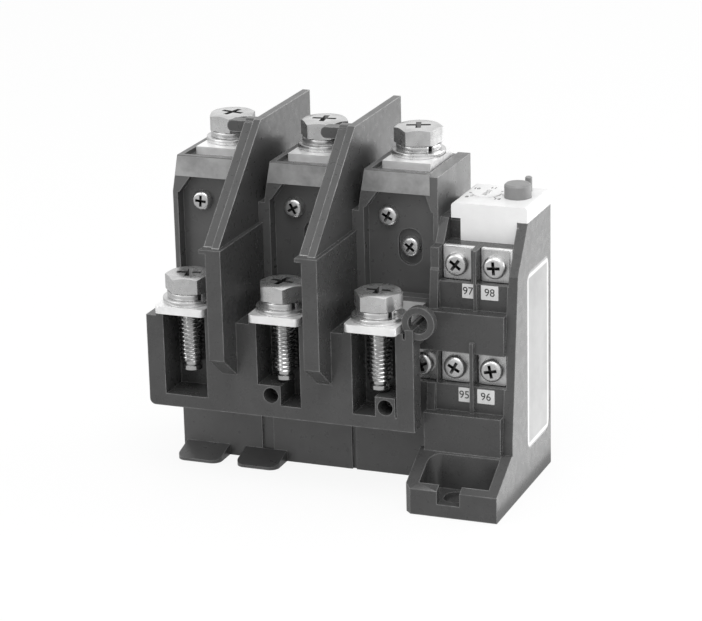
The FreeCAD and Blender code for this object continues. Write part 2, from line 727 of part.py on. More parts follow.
# ---- terminal plates ----
def line_plate(x):
    """Line plate with the leg that carries the bimetal."""
    half = LINE_PLATE_WIDTH / 2
    top = LINE_SEAT_Z + PLATE_THICK
    sheet = prism(
        [(x - half, LINE_PLATE_FRONT_Y), (x + half, LINE_PLATE_FRONT_Y),
         (x + half, LINE_PLATE_BACK_Y, PLATE_CORNER_R), (x - half, LINE_PLATE_BACK_Y, PLATE_CORNER_R)],
        "xy", LINE_SEAT_Z, top)
    hole = rod(x, LINE_BOLT_Y, LINE_SEAT_Z - PAST, top + PAST, PLATE_HOLE_R)
    face = x + BIMETAL_THICK / 2
    leg = box(face, face + PLATE_THICK, LEG_FRONT_Y, LEG_FRONT_Y + LEG_WIDTH, LEG_BOTTOM_Z, LINE_SEAT_Z)
    return joined([sheet.cut(hole), leg])


def load_plate(x):
    """Load plate that runs back into the line block."""
    half = LOAD_PLATE_WIDTH / 2
    top = LOAD_SEAT_Z + PLATE_THICK
    sheet = prism(
        [(x - half, LOAD_PLATE_FRONT_Y, PLATE_CORNER_R), (x + half, LOAD_PLATE_FRONT_Y, PLATE_CORNER_R),
         (x + half, LOAD_PLATE_BACK_Y), (x - half, LOAD_PLATE_BACK_Y)],
        "xy", LOAD_SEAT_Z, top)
    hole = rod(x, LOAD_BOLT_Y, LOAD_SEAT_Z - PAST, top + PAST, PLATE_HOLE_R)
    return sheet.cut(hole)


# ---- bolts and washers ----
def hexagon(x, y, flats, z0, z1):
    """Hexagonal block with two flats facing the front and back."""
    radius = flats / math.sqrt(3)
    corners = []
    for number in range(6):
        angle = math.radians(60 * number)
        corners.append((x + radius * math.cos(angle), y + radius * math.sin(angle)))
    return prism(corners, "xy", z0, z1)


def bolt(x, y, seat_z, tip_z, pointed):
    """Hex bolt with a crowned head and a cross recess."""
    top = seat_z + HEX_HEIGHT
    corner_r = HEX_FLATS / math.sqrt(3)
    crown = joined([
        rod(x, y, seat_z, top - HEX_CROWN, corner_r),
        cone(x, y, top - HEX_CROWN, top, corner_r, HEX_FLATS / 2 - HEX_CROWN),
    ])
    head = hexagon(x, y, HEX_FLATS, seat_z, top).common(crown)
    half = BOLT_RECESS_WIDTH / 2
    reach = BOLT_RECESS_LENGTH / 2
    low = top - BOLT_RECESS_DEPTH
    head = without(head, [
        box(x - reach, x + reach, y - half, y + half, low, top + PAST),
        box(x - half, x + half, y - reach, y + reach, low, top + PAST),
    ])
    if not pointed:
        return joined([head, rod(x, y, tip_z, seat_z, SHANK_R)])
    neck = tip_z + TIP_LENGTH
    return joined([
        head,
        rod(x, y, neck + NECK_LENGTH, seat_z, SHANK_R),
        rod(x, y, neck, neck + NECK_LENGTH, SHANK_NECK_R),
        rod(x, y, tip_z, neck, SHANK_TIP_R),
    ])


def ring(x, y, z0, z1, radius):
    """Plain washer."""
    return rod(x, y, z0, z1, radius).cut(rod(x, y, z0 - PAST, z1 + PAST, WASHER_HOLE_R))


def split_ring(x, y, z0, z1):
    """Spring washer with its gap at the front right."""
    whole = ring(x, y, z0, z1, SPRING_WASHER_R)
    gap = box(x, x + SPRING_WASHER_R + PAST, y - WASHER_GAP / 2, y + WASHER_GAP / 2, z0 - PAST, z1 + PAST)
    gap.rotate(FreeCAD.Vector(x, y, 0), FreeCAD.Vector(0, 0, 1), WASHER_GAP_TURN)
    return whole.cut(gap)


def fastener_stacks():
    """Bolts and washers of both terminal rows, as four groups."""
    line_bolts = []
    load_bolts = []
    springs = []
    flats = []
    for x in POLES:
        for y, plate_z in ((LINE_BOLT_Y, LINE_SEAT_Z), (LOAD_BOLT_Y, LOAD_SEAT_Z)):
            flat_z = plate_z + PLATE_THICK
            spring_z = flat_z + FLAT_WASHER_THICK
            seat_z = spring_z + SPRING_WASHER_THICK
            flats.append(ring(x, y, flat_z, spring_z, FLAT_WASHER_R))
            springs.append(split_ring(x, y, spring_z, seat_z))
            if y == LINE_BOLT_Y:
                line_bolts.append(bolt(x, y, seat_z, LINE_SEAT_Z - LINE_SHANK_LENGTH + PAST, False))
            else:
                load_bolts.append(bolt(x, y, seat_z, LOAD_SHANK_TIP_Z, True))
    return line_bolts, load_bolts, springs, flats


# ---- bimetals, heaters, push bar ----
def bimetal(x):
    """Bimetal strip on the line plate's leg."""
    half = BIMETAL_THICK / 2
    return box(x - half, x + half, LEG_FRONT_Y, LEG_FRONT_Y + LEG_WIDTH, BIMETAL_LOW_Z, BIMETAL_TOP_Z)


def winding(x):
    """Flat heater ribbon wound round one bimetal strip."""
    half = BIMETAL_THICK / 2
    back = LEG_FRONT_Y + LEG_WIDTH
    turns = []
    for number in range(WINDING_TURNS):
        z = WINDING_LOW_Z + WINDING_STEP * number
        outer = box(x - half - WINDING_THICK, x + half + WINDING_THICK, LEG_FRONT_Y - WINDING_THICK,
                    back + WINDING_THICK, z, z + WINDING_STRIP)
        inner = box(x - half, x + half, LEG_FRONT_Y, back, z - PAST, z + WINDING_STRIP + PAST)
        turns.append(outer.cut(inner))
    height = WINDING_STEP * (WINDING_TURNS - 1) + WINDING_STRIP
    turns.append(box(x - half - WINDING_THICK, x - half, LEG_FRONT_Y, LEG_FRONT_Y + WINDING_STRIP,
                     WINDING_LOW_Z, WINDING_LOW_Z + height))
    return joined(turns)


def push_bar():
    """Sliding bar with one finger beside each bimetal's free end."""
    parts = [box(BAR_LEFT_X, BAR_RIGHT_X, BAR_FRONT_Y, BAR_BACK_Y, BAR_LOW_Z, BAR_TOP_Z)]
    for x in POLES:
        face = x + BIMETAL_THICK / 2 + FINGER_SPACE
        parts.append(
            box(face, face + FINGER_THICK, FINGER_FRONT_Y, FINGER_BACK_Y, BAR_TOP_Z - PAST, FINGER_TOP_Z))
    return joined(parts)


# ---- control case ----
def case_outline():
    """Side view of the case's outer walls."""
    return [
        (CASE_BACK_Y, 0), (CASE_BACK_Y, WALL_PEAK_Z), (WALL_PEAK_Y, WALL_PEAK_Z),
        (WALL_BEND_Y, WALL_BEND_Z), (CASE_HEEL_Y, CASE_HEEL_Z), (CASE_HEEL_Y, 0),
    ]


def stepped_outline():
    """Side view of the stepped front between the walls."""
    return [
        (CASE_BACK_Y, 0), (CASE_BACK_Y, CASE_TOP_Z), (CASE_BODY_FRONT_Y, CASE_TOP_Z),
        (CASE_BODY_FRONT_Y, UPPER_TOP_Z), (UPPER_FACE_Y, UPPER_TOP_Z), (UPPER_FACE_Y, UPPER_SILL_Z),
        (LOWER_FACE_Y, UPPER_SILL_Z), (LOWER_FACE_Y, LOWER_SILL_Z), (SKIRT_FACE_Y, LOWER_SILL_Z),
        (SKIRT_FACE_Y, 0),
    ]


def foot():
    """Foot with sloping side walls round a shallow pocket, a long hole in its floor and a front notch."""
    body = prism(
        [(CASE_HEEL_Y, 0), (FOOT_FRONT_Y, 0), (FOOT_FRONT_Y, FOOT_RIM_Z), (FOOT_BACK_Y, FOOT_BACK_Z),
         (CASE_HEEL_Y, FOOT_BACK_Z)],
        "yz", FOOT_LEFT_X, FOOT_RIGHT_X)
    corner = prism(
        [(FOOT_LEFT_X - PAST, FOOT_FRONT_Y - PAST), (FOOT_LEFT_X + FOOT_CHAMFER, FOOT_FRONT_Y - PAST),
         (FOOT_LEFT_X + FOOT_CHAMFER, FOOT_FRONT_Y), (FOOT_LEFT_X, FOOT_FRONT_Y + FOOT_CHAMFER),
         (FOOT_LEFT_X - PAST, FOOT_FRONT_Y + FOOT_CHAMFER)],
        "xy", -PAST, FOOT_BACK_Z + PAST)
    pocket = prism(
        [(FOOT_POCKET_LEFT_X, FOOT_POCKET_FRONT_Y), (FOOT_POCKET_RIGHT_X, FOOT_POCKET_FRONT_Y),
         (FOOT_POCKET_RIGHT_X, FOOT_POCKET_BACK_Y), (FOOT_POCKET_LEFT_X, FOOT_POCKET_BACK_Y, FOOT_POCKET_R)],
        "xy", FOOT_FLOOR_Z, FOOT_BACK_Z + PAST)
    half = FOOT_SLOT_WIDTH / 2
    slot = joined([
        box(FOOT_SLOT_X - half, FOOT_SLOT_X + half, FOOT_SLOT_FRONT_Y, FOOT_SLOT_BACK_Y, -PAST, FOOT_BACK_Z + PAST),
        rod(FOOT_SLOT_X, FOOT_SLOT_FRONT_Y, -PAST, FOOT_BACK_Z + PAST, half),
        rod(FOOT_SLOT_X, FOOT_SLOT_BACK_Y, -PAST, FOOT_BACK_Z + PAST, half),
    ])
    notch = box(
        FOOT_SLOT_X - half, FOOT_SLOT_X + half, FOOT_FRONT_Y - PAST, FOOT_POCKET_FRONT_Y + PAST,
        FOOT_FLOOR_Z, FOOT_BACK_Z + PAST)
    return without(body, [corner, pocket, slot, notch])


def aux_pocket(x, z, face_y):
    """Recess for one auxiliary terminal, open to the front."""
    back = face_y + AUX_HEAD_HEIGHT + AUX_WASHER_THICK + AUX_PLATE_THICK
    pocket = box(x - AUX_POCKET_HALF_X, x + AUX_POCKET_HALF_X, SKIRT_FACE_Y - PAST, back,
                 z - AUX_POCKET_HALF_Z, z + AUX_POCKET_HALF_Z)
    bore = rod_y(x, z, back - PAST, back + AUX_SHANK_LENGTH, AUX_SHANK_R)
    return joined([pocket, bore])


def tile_places():
    """Corners of the number tiles: x span, low z and face plane."""
    places = []
    for span in TILE_SPANS:
        places.append((span, UPPER_TILE_Z, UPPER_FACE_Y))
        places.append((span, LOWER_TILE_Z, LOWER_FACE_Y))
    return places


def tile(span, low_z, face_y, depth):
    """One number tile, or the shallow seat for it."""
    return box(span[0], span[1], face_y - TILE_PROUD, face_y + depth, low_z, low_z + TILE_HEIGHT)


def side_plate_shape(x0, x1):
    """Rounded rectangle on the case's right side."""
    return rounded_plate(
        SIDE_PLATE_FRONT_Y, SIDE_PLATE_BACK_Y, SIDE_PLATE_LOW_Z, SIDE_PLATE_TOP_Z, SIDE_PLATE_R, "yz", x0, x1)


def partitions():
    """Upright ribs between the auxiliary terminals."""
    half = PARTITION_THICK / 2
    x0 = PARTITION_X - half
    x1 = PARTITION_X + half
    upper = box(x0, x1, UPPER_FACE_Y - PARTITION_REACH, CASE_BODY_FRONT_Y, UPPER_SILL_Z, UPPER_TOP_Z)
    lower = box(x0, x1, LOWER_FACE_Y - PARTITION_REACH, UPPER_FACE_Y + PAST, LOWER_SILL_Z, AUX_NOTCH_TOP_Z)
    return [upper, lower]


def third_terminal_block():
    """Part of the case that reaches left behind the load block."""
    return box(
        AUX_NOTCH_LEFT_X + SEAM, CASE_LEFT_X + PAST, LOWER_FACE_Y, HOOD_FRONT_Y, BASE_TOP_Z + SEAM,
        AUX_NOTCH_TOP_Z - SEAM)


def control_case():
    """Case with walls, stepped front, foot, shelf and cavity."""
    inner_right = RIGHT_X - CASE_WALL_RIGHT
    core = prism(stepped_outline(), "yz", CASE_LEFT_X, inner_right)
    right_wall = prism(case_outline(), "yz", inner_right, RIGHT_X)
    left_wall = prism(case_outline(), "yz", CASE_LEFT_X, CASE_LEFT_X + CASE_WALL_LEFT)
    solid = joined([core, right_wall, left_wall, third_terminal_block(), foot()] + partitions())
    cavity = box(CAVITY_LEFT_X, CAVITY_RIGHT_X, CAVITY_FRONT_Y, CAVITY_BACK_Y, CAVITY_FLOOR_Z, CASE_TOP_Z - PAST)
    mouth = box(CAVITY_LEFT_X + PAST, CAVITY_RIGHT_X, COVER_FRONT_Y + COVER_WALL + PAST, CAVITY_BACK_Y,
                CASE_TOP_Z - PAST - PAST, CASE_TOP_Z + PAST)
    window = box(
        CASE_LEFT_X - PAST, CAVITY_LEFT_X + PAST, BAR_FRONT_Y - WINDOW_MARGIN, BAR_BACK_Y + WINDOW_MARGIN,
        BAR_LOW_Z - WINDOW_MARGIN, BAR_TOP_Z + WINDOW_MARGIN)
    tools = [cavity, mouth, window, side_plate_shape(RIGHT_X - SIDE_PLATE_DEPTH, RIGHT_X + PAST)]
    for x, z in UPPER_AUX:
        tools.append(aux_pocket(x, z, UPPER_FACE_Y))
    for x, z in LOWER_AUX:
        tools.append(aux_pocket(x, z, LOWER_FACE_Y))
    for span, low_z, face_y in tile_places():
        tools.append(tile(span, low_z, face_y, TILE_THICK - TILE_PROUD))
    tools.append(rod_y(PIVOT_X, PIVOT_Z, PIN_FRONT_Y, PIN_BACK_Y, PIN_R))
    hollow = without(solid, tools)
    return joined([hollow, shelf(), contact_rail()])


def contact_rail():
    """Rail under the contact carrier, on the cavity's front wall."""
    top = CARRIER_LOW_Z - RAIL_SPACE
    return box(RAIL_LEFT_X, RAIL_RIGHT_X, CAVITY_FRONT_Y, CARRIER_BACK_Y + RAIL_SPACE, top - RAIL_THICK, top)


def shelf():
    """Inner shelf that guides the button's stem and carries its spring."""
    slab = box(SHELF_LEFT_X, CAVITY_RIGHT_X, SHELF_FRONT_Y, CAVITY_BACK_Y, SHELF_Z, SHELF_Z + SHELF_THICK)
    hole = rod(BUTTON_X, BUTTON_Y, SHELF_Z - PAST, SHELF_Z + SHELF_THICK + PAST, BUTTON_STEM_R + FIT_CLEARANCE)
    return slab.cut(hole)


def aux_terminals():
    """Screws, square washers and plates of the auxiliary terminals."""
    screws = []
    washers = []
    plates = []
    rows = [(x, z, UPPER_FACE_Y) for x, z in UPPER_AUX] + [(x, z, LOWER_FACE_Y) for x, z in LOWER_AUX]
    for x, z, face_y in rows:
        washer_y = face_y + AUX_HEAD_HEIGHT
        plate_y = washer_y + AUX_WASHER_THICK
        back_y = plate_y + AUX_PLATE_THICK
        bore = rod_y(x, z, washer_y - PAST, back_y + PAST, AUX_SHANK_R)
        washers.append(
            rounded_plate(x - AUX_WASHER_HALF_X, x + AUX_WASHER_HALF_X, z - AUX_WASHER_HALF_Z,
                          z + AUX_WASHER_HALF_Z, AUX_WASHER_CORNER_R, "xz", washer_y, plate_y).cut(bore))
        plates.append(
            box(x - AUX_PLATE_HALF_X, x + AUX_PLATE_HALF_X, plate_y, back_y, z - AUX_PLATE_HALF_Z,
                z + AUX_PLATE_HALF_Z).cut(bore))
        shank = AUX_WASHER_THICK + AUX_PLATE_THICK + AUX_SHANK_LENGTH
        screws.append(
            pan_screw(x, z, washer_y, AUX_HEAD_R, AUX_HEAD_HEIGHT, AUX_SLOT_WIDTH, AUX_SLOT_DEPTH,
                      AUX_SHANK_R, shank))
    return screws, washers, plates


# ---- cover and controls ----
def dial_cover():
    """White cap with a front tab and holes for the controls."""
    right = RIGHT_X - SEAM
    cap = prism(
        [(COVER_LEFT_X, CASE_TOP_Z), (right, CASE_TOP_Z), (right, COVER_TOP_Z, COVER_CORNER_R),
         (COVER_LEFT_X, COVER_TOP_Z, COVER_CORNER_R)],
        "xz", COVER_FRONT_Y, CASE_BACK_Y)
    tab = box(TAB_LEFT_X, TAB_RIGHT_X, COVER_FRONT_Y, COVER_FRONT_Y + TAB_THICK, TAB_LOW_Z, CASE_TOP_Z + PAST)
    hollow = box(
        COVER_LEFT_X + COVER_WALL, right - COVER_WALL, COVER_FRONT_Y + COVER_WALL, CASE_BACK_Y - COVER_WALL,
        CASE_TOP_Z - PAST, COVER_TOP_Z - COVER_SHELL)
    holes = [
        rod(DIAL_X, DIAL_Y, CASE_TOP_Z, COVER_TOP_Z + PAST, DIAL_R + FIT_CLEARANCE),
        rod(BUTTON_X, BUTTON_Y, CASE_TOP_Z, COVER_TOP_Z + PAST, BUTTON_R + FIT_CLEARANCE),
        rod(ROD_X, ROD_Y, CASE_TOP_Z, COVER_TOP_Z + PAST, ROD_R + FIT_CLEARANCE),
    ]
    return without(joined([cap.cut(hollow), tab]), holes)


def setting_dial():
    """Slotted dial held by a lip under the cover, with its stem."""
    under = COVER_TOP_Z - COVER_SHELL - FIT_CLEARANCE
    disc = rod(DIAL_X, DIAL_Y, under, DIAL_TOP_Z, DIAL_R)
    lip = rod(DIAL_X, DIAL_Y, under - DIAL_LIP_THICK, under, DIAL_LIP_R)
    stem = rod(DIAL_X, DIAL_Y, CAM_LOW_Z + CAM_HEIGHT, under, DIAL_STEM_R)
    half = DIAL_SLOT_WIDTH / 2
    reach = DIAL_R - PAST
    slot = box(DIAL_X - half, DIAL_X + half, DIAL_Y - reach, DIAL_Y + reach, DIAL_TOP_Z - DIAL_SLOT_DEPTH,
               DIAL_TOP_Z + PAST)
    return without(joined([disc, lip, stem]), [slot])


def adjusting_cam():
    """Eccentric disc on the end of the dial's stem."""
    return rod(DIAL_X + CAM_OFFSET, DIAL_Y, CAM_LOW_Z, CAM_LOW_Z + CAM_HEIGHT, CAM_R)


def reset_button():
    """Round button with a stem through the shelf."""
    body = rod(BUTTON_X, BUTTON_Y, BUTTON_LOW_Z, BUTTON_TOP_Z - BUTTON_EDGE, BUTTON_R)
    edge = cone(BUTTON_X, BUTTON_Y, BUTTON_TOP_Z - BUTTON_EDGE, BUTTON_TOP_Z, BUTTON_R, BUTTON_R - BUTTON_EDGE)
    stem = rod(BUTTON_X, BUTTON_Y, BUTTON_STEM_Z, BUTTON_LOW_Z, BUTTON_STEM_R)
    return joined([body, edge, stem])


def reset_spring():
    """Coil between the shelf and the button."""
    low = SHELF_Z + SHELF_THICK + SPRING_WIRE_R
    height = BUTTON_LOW_Z - SPRING_WIRE_R - low
    coil = Part.makeHelix(height / SPRING_TURNS, height, SPRING_R)
    corners = []
    for number in range(SPRING_WIRE_SIDES + 1):
        angle = 2 * math.pi * number / SPRING_WIRE_SIDES
        corners.append(
            FreeCAD.Vector(SPRING_R + SPRING_WIRE_R * math.cos(angle), 0, SPRING_WIRE_R * math.sin(angle)))
    wire = Part.makePolygon(corners)
    body = Part.Wire(coil.Edges).makePipeShell([wire], True, True)
    body.translate(FreeCAD.Vector(BUTTON_X, BUTTON_Y, low))
    return body


def test_rod():
    """Thin rod beside the button."""
    body = rod(ROD_X, ROD_Y, ROD_LOW_Z, ROD_TOP_Z - ROD_EDGE, ROD_R)
    edge = cone(ROD_X, ROD_Y, ROD_TOP_Z - ROD_EDGE, ROD_TOP_Z, ROD_R, ROD_R - ROD_EDGE)
    return joined([body, edge])


# ---- trip lever and contacts ----
def trip_lever():
    """Two-armed lever on the cross pin."""
    hub = rod_y(PIVOT_X, PIVOT_Z, LEVER_FRONT_Y, LEVER_BACK_Y, HUB_R)
    left = BAR_RIGHT_X + ARM_GAP
    low_arm = prism(
        [(left, ARM_LOW_Z), (left + ARM_THICK, ARM_LOW_Z), (PIVOT_X + ARM_THICK / 2, PIVOT_Z),
         (PIVOT_X - ARM_THICK, PIVOT_Z)],
        "xz", BAR_FRONT_Y, LEVER_BACK_Y)
    top_arm = prism(
        [(PIVOT_X - ARM_THICK, PIVOT_Z), (PIVOT_X + ARM_THICK / 2, PIVOT_Z), (PIVOT_X + ARM_THICK / 2, ARM_TOP_Z),
         (PIVOT_X - ARM_THICK / 2, ARM_TOP_Z)],
        "xz", LEVER_FRONT_Y, ARM_BACK_Y)
    bore = rod_y(PIVOT_X, PIVOT_Z, LEVER_FRONT_Y - PAST, LEVER_BACK_Y + PAST, PIN_R + FIT_CLEARANCE)
    return joined([hub, low_arm, top_arm]).cut(bore)


def carrier_right_x():
    """Face of the contact carrier that the lever's top arm pushes."""
    return PIVOT_X - ARM_THICK - ARM_GAP


def carrier_left_x():
    """Face of the contact carrier that holds the moving strip."""
    return CAVITY_LEFT_X + CONTACT_THICK + CONTACT_GAP + STRIP_THICK


def contact_carrier():
    """Sliding block that carries the moving contact."""
    return box(carrier_left_x(), carrier_right_x(), LEVER_FRONT_Y, CARRIER_BACK_Y, CARRIER_LOW_Z, CARRIER_TOP_Z)


def moving_contact():
    """Bridge strip with a contact at each end."""
    face = carrier_left_x()
    middle_y = (LEVER_FRONT_Y + CARRIER_BACK_Y) / 2
    middle_z = (CARRIER_LOW_Z + CARRIER_TOP_Z) / 2
    half = STRIP_WIDTH / 2
    reach = STRIP_HEIGHT / 2
    return box(face - STRIP_THICK, face, middle_y - half, middle_y + half, middle_z - reach, middle_z + reach)


def fixed_contacts():
    """Two rivets on the case's left inner wall, facing the moving strip."""
    middle_y = (LEVER_FRONT_Y + CARRIER_BACK_Y) / 2
    middle_z = (CARRIER_LOW_Z + CARRIER_TOP_Z) / 2
    shapes = []
    for side in (-1, 1):
        z = middle_z + side * (STRIP_HEIGHT / 2 - CONTACT_R)
        shapes.append(
            Part.makeCylinder(CONTACT_R, CONTACT_THICK, FreeCAD.Vector(CAVITY_LEFT_X, middle_y, z),
                              FreeCAD.Vector(1, 0, 0)))
    return shapes


def lever_pin():
    """Cross pin of the trip lever."""
    return rod_y(PIVOT_X, PIVOT_Z, PIN_FRONT_Y, PIN_BACK_Y, PIN_R)


# ---- write every node ----
def build():
    """Write one STEP file per node."""
    os.makedirs("parts", exist_ok=True)
    save("mounting_base", mounting_base())
    save("load_block", load_block())
    save_group("block_screws", block_screws())
    save("line_block", line_block())
    save_group("heater_screws", heater_screws())
    for number, x in enumerate(BARRIERS, 1):
        save("phase_barrier_" + str(number), phase_barrier(x))
    for number, x in enumerate(POLES, 1):
        save("line_plate_" + str(number), line_plate(x))
        save("load_plate_" + str(number), load_plate(x))
    line_bolts, load_bolts, springs, flats = fastener_stacks()
    save_group("line_bolts", line_bolts)
    save_group("load_bolts", load_bolts)
    save_group("spring_washers", springs)
    save_group("flat_washers", flats)
    save_group("bimetal_strips", [bimetal(x) for x in POLES])
    save_group("heater_windings", [winding(x) for x in POLES])
    save("push_bar", push_bar())
    save("control_case", control_case())
    screws, washers, plates = aux_terminals()
    save_group("aux_screws", screws)
    save_group("aux_washers", washers)
    save_group("aux_plates", plates)
    tiles = []
    for span, low_z, face_y in tile_places():
        tiles.append(tile(span, low_z, face_y, TILE_THICK - TILE_PROUD))
    save_group("number_tiles", tiles)
    plate_x = RIGHT_X - SIDE_PLATE_DEPTH
    save("side_plate", side_plate_shape(plate_x, plate_x + SIDE_PLATE_THICK))
    save("dial_cover", dial_cover())
    save("setting_dial", setting_dial())
    save("adjusting_cam", adjusting_cam())
    save("reset_button", reset_button())
    save("reset_spring", reset_spring())
    save("test_rod", test_rod())
    save("trip_lever", trip_lever())
    save("lever_pin", lever_pin())
    save("contact_carrier", contact_carrier())
    save("moving_contact", moving_contact())
    save_group("fixed_contacts", fixed_contacts())


build()
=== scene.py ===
import math

import bmesh
import bpy
from mathutils import Matrix, Vector


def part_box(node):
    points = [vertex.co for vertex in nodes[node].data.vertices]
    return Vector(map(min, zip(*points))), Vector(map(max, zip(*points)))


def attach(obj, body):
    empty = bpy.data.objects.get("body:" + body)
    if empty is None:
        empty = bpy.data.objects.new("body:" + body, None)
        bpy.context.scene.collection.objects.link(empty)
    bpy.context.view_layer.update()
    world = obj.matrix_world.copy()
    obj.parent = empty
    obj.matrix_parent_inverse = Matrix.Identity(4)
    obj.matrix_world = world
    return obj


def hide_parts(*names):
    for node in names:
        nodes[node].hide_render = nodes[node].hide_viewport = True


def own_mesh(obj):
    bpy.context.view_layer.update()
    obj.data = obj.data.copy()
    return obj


# Thermal overload relay: finish, fasteners, markings, light and camera.
# Named sizes are in millimetres and turned into metres with MM. Those of the surface detail and
# of the stage are in metres. Turns and their steps are in degrees.
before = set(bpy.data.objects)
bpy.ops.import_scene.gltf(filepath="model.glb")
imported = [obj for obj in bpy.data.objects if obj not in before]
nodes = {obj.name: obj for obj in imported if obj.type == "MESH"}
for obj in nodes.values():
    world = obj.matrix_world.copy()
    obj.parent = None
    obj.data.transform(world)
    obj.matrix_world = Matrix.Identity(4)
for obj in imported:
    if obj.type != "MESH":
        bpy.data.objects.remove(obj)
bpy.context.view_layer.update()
MM = 0.001

# ---- fasteners, sizes that the frame doesn't carry by itself ----
SIDES = 72
CHAMFER_SHARE = 0.95
CHAMFER_ANGLE = math.radians(30)
CORNER_SOFT = 0.12
WASHER_FACE = 0.2
WASHER_FACE_SHARE = 0.94
HEX_CROSS = (2.8, 0.62, 1.5)
CROSS_FLOOR_REACH = 0.45
CROSS_FLOOR_HALF = 0.6
LOAD_BOLT_TURNS = (12, -9, 4)
LINE_BOLT_TURNS = (-14, 7, 18)
# Slot of the cross recess faces, which take the near-black steel as painted shade.
RECESS_SLOT = 1
THREAD_SLOT = 2
THREAD_R = 2.9
THREAD_DEPTH = 0.5
THREAD_PITCH = 1.0
THREAD_ROWS = 6
THREAD_START = 0.6
CREST_SHARE = 0.12
FLANK_SHARE = 0.7
NECK_R = 2.0
NECK_LENGTH = 1.0
TIP_R = 2.3
TIP_LENGTH = 1.6
TIP_CHAMFER = 0.35
PAN_SHANK_SHARE = 0.56
PAN_FLAT_SHARE = 0.66
PAN_SIDE_SHARE = 0.3
PAN_DOME_STEPS = 6
CROSS_REACH_SHARE = 0.56
CROSS_HALF_SHARE = 0.13
CROSS_DEPTH_SHARE = 0.6
HEATER_HEAD = 1.7
AUX_HEAD = 1.9
BLOCK_HEAD = 0.9
FIRST_SCREW_TURN = 20
HEATER_TURN_STEP = 33
AUX_TURN_STEP = 41
BLOCK_TURN_STEP = 25
SHARP_ANGLE = math.radians(35)
SAME_AXIS = 2
SAME_POINT = 0.001

# ---- printed marks ----
INK_THICK = 0.02
WELD_REACH = 0.0001
TILE_NUMBERS = ("95", "96", "97", "98")
TILE_NUMBER_HEIGHT = 1.75
CAP_SHARE = 0.7
SCALE_STEP = 45
SCALE_LAST = 225
DIAL_LIP = 0.5
SCALE_NUMBERS = {225: "8", 135: "10", 90: "11", 45: "12", -45: "14"}
SCALE_NUMBER_HEIGHT = 1.15
SCALE_NUMBER_GAP = 1.75
TICK_GAP = 0.3
TICK_LENGTH = 0.6
TICK_WIDTH = 0.22

# ---- sizes and strengths of the surface detail ----
RAMP_SPAN = (0.35, 0.65)
EDGE_SAMPLES = 4
EDGE_DOT = (0.995, 0.85)
PATCH_SPAN = (0.35, 0.6)
PATCH_LOW = 0.35
PATCH_SCALE = 380.0
PLASTIC_CLOUDS = 140.0
PLASTIC_GLOSS = 520.0
PLASTIC_EDGE = 0.00035
FLOW_SCALE = 45.0
FLOW_STRENGTH = 0.06
FLOW_DEPTH = 0.00020
GRAIN_SCALE = 3600.0
GRAIN_DEPTH = 0.00002
METAL_CLOUDS = 240.0
METAL_GLOSS = 600.0
DENT_SCALE = 210.0
DENT_STRENGTH = 0.12
DENT_DEPTH = 0.00010
SCRATCH_SCALE = 1100.0
SCRATCH_DEPTH = 0.00002
PLATE_CLOUDS = 90.0
PLATE_GLOSS = 500.0
PLATE_ROUGH = (0.50, 0.60)
PLATE_GRAIN = 900.0
PLATE_GRAIN_STRENGTH = 0.08
PLATE_GRAIN_DEPTH = 0.00003
PLATE_SPECULAR = 0.2
PLATE_LINE = 0.0009
PLATE_INSET = 0.0006


# ---- materials ----
def grey(value):
    """Neutral colour."""
    return (value, value, value, 1.0)


